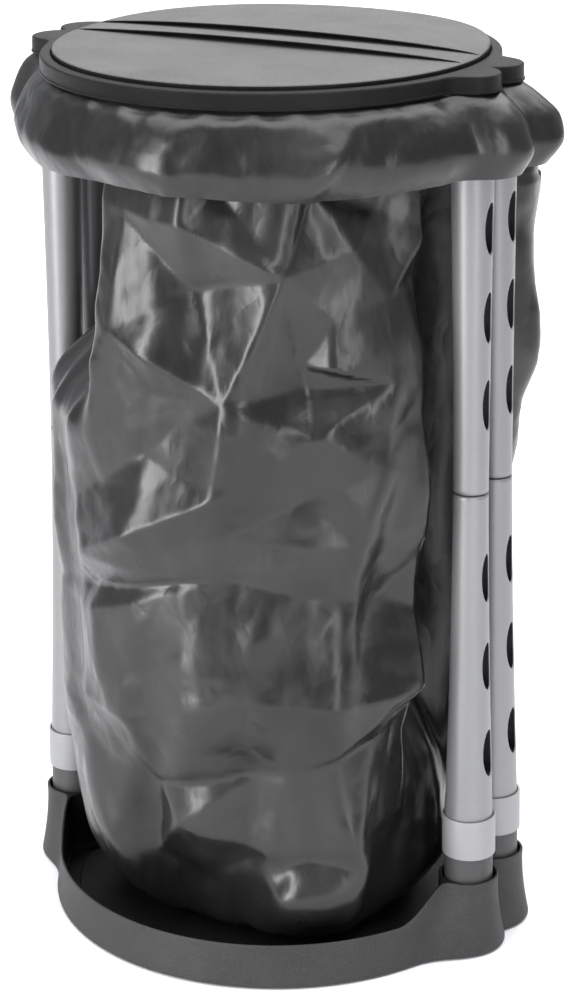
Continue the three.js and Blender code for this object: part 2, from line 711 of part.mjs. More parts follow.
// Height of the top of panel 0, 1 or 2: flat at its sides, crowned in the middle, sinking rearwards.
function panelTop(index, x, y) {
  if (index === 0) return LID_EDGE;
  const step = STEPS[index - 1];
  const end = index < STEPS.length ? STEPS[index].y : LID_RADIUS;
  const along = Math.max((y - step.y) / (end - step.y), 0);
  const crown = Math.max(1 - (x / STEP_HALF) ** 2, 0) ** STEP_CROWN;
  return LID_EDGE + (step.rise - step.sink * Math.min(along, 1)) * crown;
}

// A disc whose top follows one panel, lowered by a drop, from the rear of the panel's front edge.
function panelBlock(index, radius, drop, floor, inset) {
  const rings = [];
  const count = LID_POINTS;
  const shares = [1, 0.7, 0.4, 0.1];
  const at = (share, j, height) => {
    const angle = (j / count) * 2 * Math.PI;
    const x = share * radius * Math.cos(angle);
    const y = share * radius * Math.sin(angle);
    return new THREE.Vector3(x, y, height(x, y));
  };
  const ring = (share, height) => Array.from({ length: count }, (_, j) => at(share, j, height));
  rings.push(ring(1, () => floor));
  for (const share of shares) rings.push(ring(share, (x, y) => panelTop(index, x, y) - drop));
  const disc = toSolid(skin(rings));
  if (index === 0) return disc;
  const front = STEPS[index - 1].y + inset;
  const keep = block([-radius - 1, front, floor - 1], [radius + 1, radius + 1, LID_EDGE + 30]);
  return disc.intersect(toSolid(keep));
}

function lidShell(radius, drop, floor, inset) {
  return [1, 2].reduce(
    (solid, index) => solid.add(panelBlock(index, radius, drop, floor, inset)),
    panelBlock(0, radius, drop, floor, inset),
  );
}

// An arm of the lid: a plate from its rim back to a knuckle round the hinge axis.
function lidArm(side) {
  const [from, to] = [side * LID_ARM.from, side * LID_ARM.to].sort((a, b) => a - b);
  const front = LID_RADIUS - LID_ARM.under;
  const plate = block([from, front, LID_UNDERSIDE], [to, HINGE_Y, LID_UNDERSIDE + WALL]);
  const knuckle = crossBar(from, to, HINGE_Y, HINGE_Z, KNUCKLE_RADIUS, 16);
  return toSolid(plate).add(toSolid(knuckle));
}

function lid() {
  const hollow = lidShell(LID_RADIUS - WALL, LID_WALL, LID_UNDERSIDE - 1, LID_WALL);
  let solid = lidShell(LID_RADIUS, 0, LID_UNDERSIDE, 0).subtract(hollow);
  for (const side of SIDES) {
    solid = solid.add(lidArm(side));
    solid = solid.subtract(toSolid(pinBore(side)));
  }
  return toGeometry(solid);
}

// ---------------------------------------------------------------- bag
// Radius of the bag's body: drawn in beside the legs, bulging between them below the ring.
function bagRadius(angle, z) {
  const inRing = SUPPORT_INNER_RADIUS - 2;
  const besideLegs = SUPPORT_INNER_RADIUS - 4;
  const off = Math.abs(Math.asin(Math.sin(angle))) / DEG;
  const free = smooth(off, BAG_FREE.from, BAG_FREE.to);
  const bulge = Math.sin(angle) < 0 ? BAG_FRONT : BAG_REAR;
  const rise = THREE.MathUtils.clamp((z - 55) / (TUBE_TOP - 75), 0, 1);
  const belly = Math.sin(Math.PI * rise) ** 0.5;
  const bulged = lerp(besideLegs, lerp(inRing, bulge, belly), free);
  return z > TUBE_TOP - 12 ? inRing : bulged;
}

// The film's middle line at one angle as [radius, z]: out along the floor, up the body, over the
// support ring and down the outside as the cuff.
function filmLine(angle) {
  const floor = TRAY_FLOOR + GAP + 1 + FILM;
  const ring = ringOuter(angle);
  const over = SUPPORT_TOP + GAP + FILM / 2;
  const outside = ring - WALL - GAP - FILM / 2;
  const levels = [...BAG_LEVELS.map((share) => share * TUBE_TOP), TUBE_TOP - 60, TUBE_TOP - 10];
  return [
    [LEDGE_RADIUS - 86, floor],
    [LEDGE_RADIUS - 31, floor + 2],
    [LEDGE_RADIUS - 16, floor + 16],
    ...levels.map((z) => [bagRadius(angle, z), z]),
    [SUPPORT_INNER_RADIUS - 2, over - 3],
    [SUPPORT_INNER_RADIUS, over],
    [outside - 1, over],
    [outside, over - 1.5],
    [outside, SKIRT_BOTTOM - 1],
    [ring + 0.5 * CUFF_REACH, SKIRT_BOTTOM - 15],
    [ring + CUFF_REACH, SKIRT_BOTTOM - 46],
    [ring + 0.55 * CUFF_REACH, CUFF_HEM],
  ];
}

// The line moved sideways by a distance, to its left seen along the line.
function beside(line, distance) {
  return line.map(([radius, z], k) => {
    const [fromR, fromZ] = line[Math.max(k - 1, 0)];
    const [toR, toZ] = line[Math.min(k + 1, line.length - 1)];
    const length = Math.hypot(toR - fromR, toZ - fromZ);
    return [
      radius - (distance * (toZ - fromZ)) / length,
      z + (distance * (toR - fromR)) / length,
    ];
  });
}

function wasteBag() {
  const loops = ANGLES.map((angle) => {
    const line = filmLine(angle);
    return [...beside(line, -FILM / 2), ...beside(line, FILM / 2).reverse()];
  });
  return skin(loops[0].map((_, k) => loops.map((loop, j) => polar(ANGLES[j], ...loop[k]))));
}

// ---------------------------------------------------------------- materials and assembly
const finish = (color, roughness, metalness) => () =>
  new THREE.MeshStandardMaterial({ color, roughness, metalness });

const grainedPlastic = finish(0x4a4a4c, 0.6, 0);
const lidPlastic = finish(0x6a6a6c, 0.62, 0);
const plugPlastic = finish(0x515355, 0.55, 0);
const satinAluminium = finish(0xc4c6c8, 0.35, 0.9);
const brightAluminium = finish(0xd4d6d8, 0.32, 0.9);
const blackPlastic = finish(0x151516, 0.5, 0);
const blackFilm = finish(0x1c1c1e, 0.25, 0);
const zincSteel = finish(0xb4b6b4, 0.35, 1);
const blackRubber = finish(0x121212, 0.85, 0);

const stand = new THREE.Group();

function place(name, geometry, material, parent = stand) {
  const mesh = new THREE.Mesh(geometry, material());
  mesh.name = name;
  parent.add(mesh);
}

place("base_tray", baseTray(), grainedPlastic);
place("floor_grid", floorGrid(), grainedPlastic);
place("support_ring", supportRing(), blackPlastic);
place("waste_bag", wasteBag(), blackFilm);
place("clamp_ring", clampRing(), grainedPlastic);
place("lid", lid(), lidPlastic);
place("hinge_pin_right", hingePin(1), zincSteel);
place("hinge_pin_left", hingePin(-1), zincSteel);

const LEG_PIECES = [
  ["rubber_foot", rubberFoot, blackRubber],
  ["leg_screw", legScrew, zincSteel],
  ["foot_plug", footPlug, plugPlastic],
  ["collar", collar, brightAluminium],
  ["lower_tube", lowerTube, satinAluminium],
  ["tube_joiner", tubeJoiner, blackPlastic],
  ["upper_tube", upperTube, satinAluminium],
  ["top_plug", topPlug, blackPlastic],
  ["ring_screw", ringScrew, zincSteel],
];

for (const sideX of SIDES)
  for (const sideY of SIDES) {
    const leg = new THREE.Group();
    const corner = (sideY > 0 ? "rear_" : "front_") + (sideX > 0 ? "right" : "left");
    for (const [piece, make, material] of LEG_PIECES)
      place(piece + "_" + corner, make(sideX, sideY), material, leg);
    stand.add(leg);
  }

export default stand;
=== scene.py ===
"""The finished look of a free-standing refuse bag stand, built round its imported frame.

Metres, +Z up, the origin on the ground under the middle. X runs through the two pairs of legs and the
lid's hinge is at +Y. Every new surface is a numpy grid of points: a profile turned round an axis, a
profile carried round a lobed outline, or a height worked out over a disc.
"""

import math

import bmesh
import bpy
import numpy as np
from mathutils import Matrix, Vector
from mathutils.geometry import delaunay_2d_cdt


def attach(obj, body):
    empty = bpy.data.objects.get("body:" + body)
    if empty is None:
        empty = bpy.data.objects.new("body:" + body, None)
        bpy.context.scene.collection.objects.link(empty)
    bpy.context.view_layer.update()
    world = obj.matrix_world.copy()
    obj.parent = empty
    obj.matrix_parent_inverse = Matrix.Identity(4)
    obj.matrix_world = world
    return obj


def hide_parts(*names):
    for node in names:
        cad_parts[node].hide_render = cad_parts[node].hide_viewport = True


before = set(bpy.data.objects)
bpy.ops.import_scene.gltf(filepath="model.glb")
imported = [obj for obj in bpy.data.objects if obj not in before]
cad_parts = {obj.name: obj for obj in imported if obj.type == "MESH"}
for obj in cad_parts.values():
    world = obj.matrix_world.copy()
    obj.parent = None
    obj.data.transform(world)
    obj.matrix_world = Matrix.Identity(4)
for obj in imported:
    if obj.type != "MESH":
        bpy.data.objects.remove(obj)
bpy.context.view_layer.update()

# ---------------------------------------------------------------- sizes of the stand
WALL = 0.003
RING_TOP = 0.823
RING_RADIUS = 0.205
RING_LOBE = (0.2065, 0.0245, 0.0245)
RING_BLEND = 0.016
SKIRT_HEIGHT = 0.015
SKIRT_BOTTOM = RING_TOP - SKIRT_HEIGHT
SEAT_TOP = RING_TOP - 0.004
MOUTH_RADIUS = 0.178
SUPPORT_RADIUS = 0.187

LID_RADIUS = 0.194
LID_EDGE = RING_TOP + 0.0045
LID_UNDERSIDE = SEAT_TOP + 0.0005
LID_CEILING = LID_EDGE - 0.0026
LID_STEPS = ((-0.0155, 0.006, 0.0032), (0.0225, 0.0088, 0.0078))
STEP_HALF = LID_RADIUS - 0.003
STEP_CROWN = 0.6
NOSE = 0.0011
RIM_ROUND = 0.0018

HINGE_Y = RING_RADIUS - 0.001
HINGE_Z = RING_TOP - 0.0045
HINGE_HALF = 0.063
KNUCKLE_RADIUS = 0.0046
LID_ARM = (0.0216, 0.0534)

LEG_GROUND = (0.2168, 0.0295)
LEG_RING = (0.2065, 0.0236)
SEAM = 0.448
SEAM_GAP = 0.002
COLLAR_TOP = 0.133
COLLAR_BOTTOM = 0.0945
COLLAR_RADIUS = 0.0248
TUBE_TOP = RING_TOP - SKIRT_HEIGHT - 0.007
TUBE_WALL = 0.0012
TUBE_RADII = (0.0223, 0.0161, 0.0200)
TUBE_TAPER = 1.6
HOLE_HALF = (0.0085, 0.023)
UPPER_HOLES = (0.6095, 0.0795)
LOWER_HOLES = (0.2825, 0.0855)
PLAY = 0.0003
PLUG_RADIUS = TUBE_RADII[0] + PLAY
SPIGOT_TOP = COLLAR_TOP + 0.04
JOINER_HALF = 0.034
BAND_HALF = 0.0007
BAND_STEP = 0.0008

SOCKET_TOP = 0.0715
SOCKET_FLOOR = 0.013
SOCKET_MOUTH = PLUG_RADIUS + 0.0026
SOCKET_WALL = 0.0028
TRAY_RADIUS = 0.2192
TRAY_TOP_RADIUS = 0.2145
TRAY_LOBE = (0.207, 0.0283, 0.0438)
TRAY_WALL_TOP = 0.043
TRAY_FLOOR = 0.006
TRAY_FOOT = 0.0015
LEDGE_RADIUS = 0.196

SUPPORT_TOP = TUBE_TOP + 0.011
CUFF_HEM = 0.735
FOOT_RADIUS = 0.108
FOOT_FOLD = 0.022
FOOT_HOLLOW = 0.022
BELLY_FRONT = 0.203
BELLY_REAR = 0.220
FLAP_RADIUS = 0.212
REAR_RADIUS = 0.231
TUCK_TOP = 0.795
BODY_TOP = 0.797
LEFT_TUCK = 0.42
RIGHT_TUCK = 0.36

GROWTH = 0.008
SETTLE_FRAMES = 24
CUFF_HOLD = 0.7
TOUCHED = ("base_tray", "clamp_ring", "collar", "foot_plug", "lower_tube", "upper_tube", "floor_grid")

SIDES = (1, -1)


# ---------------------------------------------------------------- meshes from grids of points
def grid_faces(rows, columns, closed_rows=False, closed_columns=True):
    """Quads between neighbouring rows and columns; a closed direction also joins last to first."""
    i = np.arange(rows if closed_rows else rows - 1)
    j = np.arange(columns if closed_columns else columns - 1)
    i, j = np.meshgrid(i, j, indexing="ij")
    next_i, next_j = (i + 1) % rows, (j + 1) % columns
    quads = [i * columns + j, i * columns + next_j, next_i * columns + next_j, next_i * columns + j]
    return np.stack(quads, -1).reshape(-1, 4)


def make_mesh(name, points, faces, sharp=40):
    """An object from points and quads: doubles merged, and smooth but for edges over sharp degrees."""
    mesh = bpy.data.meshes.new(name)
    mesh.from_pydata(np.asarray(points, float).reshape(-1, 3), [], faces)
    made = bmesh.new()
    made.from_mesh(mesh)
    bmesh.ops.remove_doubles(made, verts=made.verts, dist=2e-6)
    bmesh.ops.dissolve_degenerate(made, edges=made.edges, dist=1e-6)
    made.to_mesh(mesh)
    made.free()
    mesh.shade_smooth()
    mesh.set_sharp_from_angle(angle=math.radians(sharp))
    obj = bpy.data.objects.new(name, mesh)
    bpy.context.scene.collection.objects.link(obj)
    return obj


def eased(corners, reach, steps=4):
    """A closed profile with its corners eased: each corner becomes a quadratic curve that leaves the side
    before it and meets the side after it at a distance of reach, or at 0.45 of a shorter side.

    corners has one row per corner and two or more columns on its last axis; reach is one per corner."""
    corners = np.asarray(corners, float)
    before = np.roll(corners, 1, axis=0) - corners
    after = np.roll(corners, -1, axis=0) - corners
    reach = np.asarray(reach, float).reshape((-1,) + (1,) * (corners.ndim - 1))

    def along(side):
        length = np.linalg.norm(side, axis=-1, keepdims=True)
        return side * np.minimum(reach / np.maximum(length, 1e-9), 0.45)

    start, end = corners + along(before), corners + along(after)
    t = np.linspace(0, 1, steps + 1).reshape((1, -1) + (1,) * (corners.ndim - 1))
    curve = (1 - t) ** 2 * start[:, None] + 2 * t * (1 - t) * corners[:, None] + t**2 * end[:, None]
    return curve.reshape((-1,) + corners.shape[1:])


def polar(angle, radius, z):
    """Points at an angle and distance from the stand's axis."""
    angle, radius, z = np.broadcast_arrays(angle, radius, z)
    return np.stack([radius * np.cos(angle), radius * np.sin(angle), z], -1)


def even_angles(count):
    """Angles all the way round, evenly spaced."""
    return np.arange(count) / count * 2 * np.pi


# ---------------------------------------------------------------- lobed outlines
def outline_angles(count):
    """Angles all the way round, closer together at the lobes on the X axis."""
    even = even_angles(count)
    return even - 0.36 * np.sin(2 * even)


def smooth_min(a, b, blend):
    """The lower of two values, filleted where they cross."""
    near = np.maximum(blend - np.abs(a - b), 0) / blend
    return np.minimum(a, b) - near * near * blend / 4


def crossing(value, low, high):
    """The distance at which a rising function crosses zero, found by halving."""
    low, high = np.array(low, float), np.array(high, float)
    for _ in range(40):
        middle = (low + high) / 2
        above = value(middle) > 0
        high, low = np.where(above, middle, high), np.where(above, low, middle)
    return (low + high) / 2


def lobe_distance(angle, distance, lobe):
    """How far a point lies outside the nearest of four lobes, mirrored in X and Y."""
    x = np.abs(distance * np.cos(angle)) - lobe[0]
    y = np.abs(distance * np.sin(angle)) - lobe[1]
    return np.hypot(x, y) - lobe[2]


def outward_radius(angle, radius, lobe, blend):
    """Outer radius of a circle joined to four lobes, with a fillet where they meet."""
    around = np.zeros(np.broadcast(angle, radius, lobe[0]).shape)
    return crossing(
        lambda d: smooth_min(d - radius, lobe_distance(angle, d, lobe), blend),
        0.4 * radius + around,
        1.6 * radius + around,
    )


def inward_radius(angle, radius, lobe, blend):
    """Radius of a round hollow that the four lobes stand into."""
    around = np.zeros(np.shape(angle))
    return crossing(
        lambda d: -smooth_min(radius - d, lobe_distance(angle, d, lobe), blend),
        0.4 * radius + around,
        radius + blend + around,
    )


def smoothstep(x, low, high):
    """0 below low, 1 above high, and an S-curve between."""
    t = np.clip((x - low) / (high - low), 0, 1)
    return t * t * (3 - 2 * t)


def off_axis(angle):
    """Degrees between a direction and the X axis through the legs."""
    return np.degrees(np.abs(np.arcsin(np.sin(angle))))


def ring_outer(angle):
    """The clamp ring's outer radius: a circle with a lobe over each leg."""
    return outward_radius(angle, RING_RADIUS, RING_LOBE, RING_BLEND)


# ---------------------------------------------------------------- legs
def leg_centre(side_x, side_y, z):
    """X and Y of a leg's leaning axis at a height."""
    t = np.asarray(z) / RING_TOP
    x = LEG_GROUND[0] + (LEG_RING[0] - LEG_GROUND[0]) * t
    y = LEG_GROUND[1] + (LEG_RING[1] - LEG_GROUND[1]) * t
    return side_x * x, side_y * y


def tube_radius(z):
    """Widest at foot and head, narrowest at the seam, along a power of the way from the seam."""
    foot, waist, head = TUBE_RADII
    end = np.where(z < SEAM, COLLAR_TOP, TUBE_TOP)
    widest = np.where(z < SEAM, foot, head)
    along = np.minimum(np.abs(z - SEAM) / np.abs(end - SEAM), 1)
    return waist + (widest - waist) * along**TUBE_TAPER


def on_tube(side_x, side_y, angle, z, sink):
    """A point on the tube: out from the leaning axis by the tube's radius less sink."""
    x, y = leg_centre(side_x, side_y, z)
    radius = tube_radius(z) - sink
    return np.stack([x + radius * np.cos(angle), y + radius * np.sin(angle), z + 0 * angle], -1)


def turned(name, side_x, side_y, profile, reach, count=64):
    """A profile of (radius, height) turned round a leg's axis; it closes on itself or ends on the axis."""
    profile = np.array(profile, float)
    if profile[0, 0] > 0:
        profile = eased(profile, [reach] * len(profile))
        closed = True
    else:
        middle = eased(profile, [reach] * len(profile))[5:-5]
        profile = np.vstack([profile[:1], middle, profile[-1:]])
        closed = False
    angle = even_angles(count)[None, :]
    radius, z = profile[:, 0:1], profile[:, 1:2]
    x, y = leg_centre(side_x, side_y, z)
    points = np.stack([x + radius * np.cos(angle), y + radius * np.sin(angle), z + 0 * angle], -1)
    return make_mesh(name, points, grid_faces(*points.shape[:2], closed_rows=closed))


HOLE_ACROSS = 8
HOLE_ALONG = 14
RIM_SINKS = ((1.16, 0.0), (1.07, 0.0), (1.02, 0.00022), (1.0, 0.0007), (1.0, TUBE_WALL))


def hole_patch(half_width, half_pitch):
    """Rings of (across, along) from an evenly divided rectangle in to an oval hole's edge."""
    across = np.linspace(-1, 1, HOLE_ACROSS + 1)
    along = np.linspace(-1, 1, HOLE_ALONG + 1)
    top = np.stack([across, 0 * across + 1], -1)[:-1]
    right = np.stack([0 * along + 1, -along], -1)[:-1]
    bottom = np.stack([-across, 0 * across - 1], -1)[:-1]
    left = np.stack([0 * along - 1, along], -1)[:-1]
    square = np.concatenate([top, right, bottom, left])
    frame_edge = square * (half_width, half_pitch)
    turn = np.arctan2(frame_edge[:, 1] / HOLE_HALF[1], frame_edge[:, 0] / HOLE_HALF[0])
    oval = np.stack([HOLE_HALF[0] * np.cos(turn), HOLE_HALF[1] * np.sin(turn)], -1)
    rings = [(frame_edge * (1 - t) + oval * RIM_SINKS[0][0] * t, 0.0) for t in (0, 0.3, 0.6, 0.85)]
    return rings + [(oval * scale, sink) for scale, sink in RIM_SINKS]


def perforated_tube(name, side_x, side_y, low, high, holes):
    """A leg tube with three oval holes that face away from the stand, each with a thin rolled rim.

    Round each hole lies a patch of rings; the rest is a grid of angle and height. All of it is laid on
    the tube's flared surface, and the wall is given its thickness afterwards."""
    middle, pitch = holes
    facing = 0.0 if side_x > 0 else np.pi
    half_angle = math.radians(62)
    start, end = middle - 1.5 * pitch, middle + 1.5 * pitch
    near = tube_radius(np.array(middle))
    points, faces, used = [], [], 0

    def lay(angle, z, sink, quads):
        nonlocal used
        laid = on_tube(side_x, side_y, facing + angle, z, sink).reshape(-1, 3)
        points.append(laid)
        faces.append(quads + used)
        used += len(laid)

    for index in (-1, 0, 1):
        rings = hole_patch(half_angle * near, pitch / 2)
        across = np.array([ring[:, 0] for ring, _ in rings]) / near
        along = np.array([ring[:, 1] for ring, _ in rings]) + middle + index * pitch
        sink = np.array([[s] * len(rings[0][0]) for _, s in rings])
        lay(-across, along, sink, grid_faces(*across.shape))
    hole_rows = np.linspace(start, end, 3 * HOLE_ALONG + 1)
    levels = np.concatenate([np.linspace(low, start, 12)[:-1], hole_rows, np.linspace(end, high, 12)[1:]])
    back = np.linspace(half_angle, 2 * np.pi - half_angle, 41)
    front = np.linspace(-half_angle, half_angle, HOLE_ACROSS + 1)
    for columns, rows in ((back, levels), (front, levels[:12]), (front, levels[-12:])):
        angle, z = np.meshgrid(columns, rows)
        lay(angle, z, 0.0, grid_faces(len(rows), len(columns), closed_columns=False))
    obj = make_mesh(name, np.concatenate(points), np.concatenate(faces), sharp=60)
    wall = obj.modifiers.new("wall", "SOLIDIFY")
    wall.thickness = TUBE_WALL
    wall.offset = -1
    return obj


def leg(side_x, side_y, corner):
    """The finished pieces of one leg, and what each stands for."""
    lower = perforated_tube(
        "lower_tube_skin_" + corner, side_x, side_y,
        COLLAR_BOTTOM + WALL + PLAY, SEAM - SEAM_GAP / 2, LOWER_HOLES,
    )
    upper = perforated_tube(
        "upper_tube_skin_" + corner, side_x, side_y,
        SEAM + SEAM_GAP / 2, TUBE_TOP - PLAY, UPPER_HOLES,
    )
    foot_radius = TUBE_RADII[0]
    spigot = tube_radius(np.array(SPIGOT_TOP)) - TUBE_WALL - PLAY
    collar = turned(
        "collar_sleeve_" + corner, side_x, side_y,
        [
            (COLLAR_RADIUS, COLLAR_BOTTOM),
            (COLLAR_RADIUS, COLLAR_TOP),
            (foot_radius + 0.0006, COLLAR_TOP),
            (foot_radius + 0.0004, COLLAR_TOP - 0.003),
            (foot_radius + PLAY, COLLAR_BOTTOM + WALL),
            (spigot + PLAY, COLLAR_BOTTOM + WALL),
            (spigot + PLAY, COLLAR_BOTTOM),
        ],
        0.0007,
    )
    plug = turned(
        "foot_plug_body_" + corner, side_x, side_y,
        [
            (0, SOCKET_FLOOR + PLAY),
            (PLUG_RADIUS, SOCKET_FLOOR + PLAY),
            (PLUG_RADIUS, COLLAR_BOTTOM - PLAY),
            (spigot, COLLAR_BOTTOM - PLAY),
            (spigot, SPIGOT_TOP),
            (0, SPIGOT_TOP),
        ],
        0.0008,
    )
    waist = TUBE_RADII[1] - TUBE_WALL - PLAY
    joiner = turned(
        "joiner_band_" + corner, side_x, side_y,
        [
            (0, SEAM - JOINER_HALF),
            (waist, SEAM - JOINER_HALF),
            (waist, SEAM - BAND_HALF),
            (waist + BAND_STEP, SEAM - BAND_HALF),
            (waist + BAND_STEP, SEAM + BAND_HALF),
            (waist, SEAM + BAND_HALF),
            (waist, SEAM + JOINER_HALF),
            (0, SEAM + JOINER_HALF),
        ],
        0.0003,
    )
    made = (
        (lower, "lower_tube", tube_finish),
        (upper, "upper_tube", tube_finish),
        (collar, "collar", collar_finish),
        (plug, "foot_plug", plug_finish),
        (joiner, "tube_joiner", black_finish),
    )
    for obj, node, finish in made:
        obj.data.materials.append(finish)
        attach(obj, "root")
        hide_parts(f"{node}_{corner}")


# ---------------------------------------------------------------- base tray
def tray_lobe(z):
    """Centre and radius of the socket lobes at a height: wide at the ground, drawn in upwards."""
    t = np.minimum(z / SOCKET_TOP, 1)
    top_x, top_y = leg_centre(1, 1, SOCKET_TOP)
    top_radius = SOCKET_MOUTH + SOCKET_WALL
    x, y, radius = TRAY_LOBE
    return x + (top_x - x) * t, y + (top_y - y) * t, top_radius + (radius - top_radius) * (1 - t) ** 1.5


def tray_outer(angle, z):
    """The tray's outer radius at a height: the wall leans in, and its fillets tighten upwards."""
    t = np.minimum(z / TRAY_WALL_TOP, 1)
    circle = TRAY_RADIUS + (TRAY_TOP_RADIUS - TRAY_RADIUS) * (1 - (1 - t) ** 2)
    return outward_radius(angle, circle, tray_lobe(z), 0.034 - 0.022 * z / SOCKET_TOP)


def tray_inner(angle):
    """The radius inside the tray's wall, which the sockets stand into."""
    lobe = (*leg_centre(1, 1, SOCKET_TOP), SOCKET_MOUTH + SOCKET_WALL)
    return inward_radius(angle, TRAY_TOP_RADIUS - WALL, lobe, 0.014)


def tray_wall_top(angle):
    """Low at front and back, climbing to the sockets at the sides."""
    return SOCKET_TOP + (TRAY_WALL_TOP - SOCKET_TOP) * smoothstep(off_axis(angle), 15.5, 31)


def base_tray():
    """The tray: a wall profile carried round the lobed outline, with the four sockets bored into it.

    The outside follows the flare of the lobes level by level; the top is rounded; inside, the wall falls
    to a bead, a ledge and the rim under the floor grid."""
    angle = outline_angles(900)
    top = tray_wall_top(angle)
    inner = tray_inner(angle)
    lip_round = 0.0014
    edge_round = 0.0016
    ledge = np.minimum(LEDGE_RADIUS, inner - 0.004)
    share = np.array([0, 0.012, 0.03, 0.045, 0.1, 0.18, 0.28, 0.38, 0.5, 0.62, 0.74, 0.86, 0.94, 1.0])
    z = TRAY_FOOT + (top - edge_round - TRAY_FOOT) * share[:, None]
    lip = np.array([-0.0022, -0.0005, -0.0002, 0, 0, 0, 0, 0, 0, 0, 0, 0, 0, 0])[:, None]
    outside = np.stack([tray_outer(angle, z) + lip, z], -1)
    edge = tray_outer(angle, top)
    turn = np.radians([20, 40, 60, 80])[:, None]
    shoulder = np.stack(
        [
            edge - edge_round + edge_round * np.cos(turn),
            top - edge_round + edge_round * np.sin(turn),
        ],
        -1,
    )
    round_in = np.radians([90, 70, 50, 30, 10])[:, None]
    lip_in = np.stack(
        [
            inner + lip_round - lip_round * np.cos(round_in),
            top - lip_round + lip_round * np.sin(round_in),
        ],
        -1,
    )
    rows = [
        (inner, top - 0.006),
        (inner, TRAY_FLOOR + 0.0095 + 0 * top),
        (inner - 0.0003, TRAY_FLOOR + 0.0075 + 0 * top),
        (inner - 0.0014, TRAY_FLOOR + 0.0065 + 0 * top),
        (inner - 0.0024, TRAY_FLOOR + 0.0064 + 0 * top),
        (inner - 0.0028, TRAY_FLOOR + 0.0058 + 0 * top),
        (inner - 0.0030, TRAY_FLOOR + 0.001 + 0 * top),
        (inner - 0.0036, TRAY_FLOOR + 0 * top),
        (ledge + 0.0005, TRAY_FLOOR + 0 * top),
        (ledge, TRAY_FLOOR - 0.0005 + 0 * top),
        (ledge, TRAY_FLOOR - WALL + 0 * top),
        (ledge - 0.006, TRAY_FLOOR - WALL + 0 * top),
        (ledge - 0.006, TRAY_FOOT + 0 * top),
    ]
    inside = np.stack([np.stack(row, -1) for row in rows])
    profile = np.concatenate([outside, shoulder, lip_in, inside])
    points = polar(angle, profile[..., 0], profile[..., 1])
    tray = make_mesh("tray_shell", points, grid_faces(*points.shape[:2], closed_rows=True))
    cutters = [socket_cutter(x, y) for x in SIDES for y in SIDES] + [web_cutter(x) for x in SIDES]
    for cutter in cutters:
        cut(tray, cutter)
    tray.data.set_sharp_from_angle(angle=math.radians(35))
    return tray


def socket_cutter(side_x, side_y):
    """The room of one socket: snug below, opening at the top, with a rounded mouth."""
    snug = PLUG_RADIUS + PLAY
    flare = np.radians(np.linspace(0, 90, 5))
    soft = 0.001
    mouth = [
        (SOCKET_MOUTH + soft * (1 - math.cos(a)), SOCKET_TOP - soft + soft * math.sin(a)) for a in flare
    ]
    profile = [(0, SOCKET_FLOOR), (snug, SOCKET_FLOOR), (snug, SOCKET_TOP - 0.018), *mouth]
    profile += [(mouth[-1][0], SOCKET_TOP + 0.01), (0, SOCKET_TOP + 0.01)]
    profile = np.array(profile)
    angle = even_angles(72)[None, :]
    x, y = leg_centre(side_x, side_y, profile[:, 1:2])
    radius, z = profile[:, 0:1], profile[:, 1:2]
    points = np.stack([x + radius * np.cos(angle), y + radius * np.sin(angle), z + 0 * angle], -1)
    return make_mesh("socket_room", points, grid_faces(*points.shape[:2]))


def web_cutter(side_x):
    """The room between two sockets, which joins them into one double-lobed opening."""
    x, y = leg_centre(1, 1, SOCKET_TOP)
    outer = float(tray_outer(np.zeros(1), np.array(SOCKET_TOP))[0]) - SOCKET_WALL
    low, high = (x - 0.014, -y, SOCKET_TOP - 0.016), (outer, y, SOCKET_TOP + 0.01)
    return block("web_room", side_x, low, high)


def block(name, side_x, low, high):
    """A box between two corners, mirrored in X for side_x -1."""
    x0, x1 = sorted((side_x * low[0], side_x * high[0]))
    loop = [(x0, low[1]), (x1, low[1]), (x1, high[1]), (x0, high[1])]
    middle = ((x0 + x1) / 2, (low[1] + high[1]) / 2)
    bottom, top = low[2], high[2]
    levels = (([middle] * 4, bottom), (loop, bottom), (loop, top), ([middle] * 4, top))
    rows = [[(*p, z) for p in places] for places, z in levels]
    return make_mesh(name, np.array(rows), grid_faces(4, 4))


def cut(obj, cutter):
    """Takes the cutter's room out of obj, and removes the cutter."""
    modifier = obj.modifiers.new("cut", "BOOLEAN")
    modifier.object = cutter
    modifier.solver = "EXACT"
    bake(obj, modifier)
    bpy.data.objects.remove(cutter)


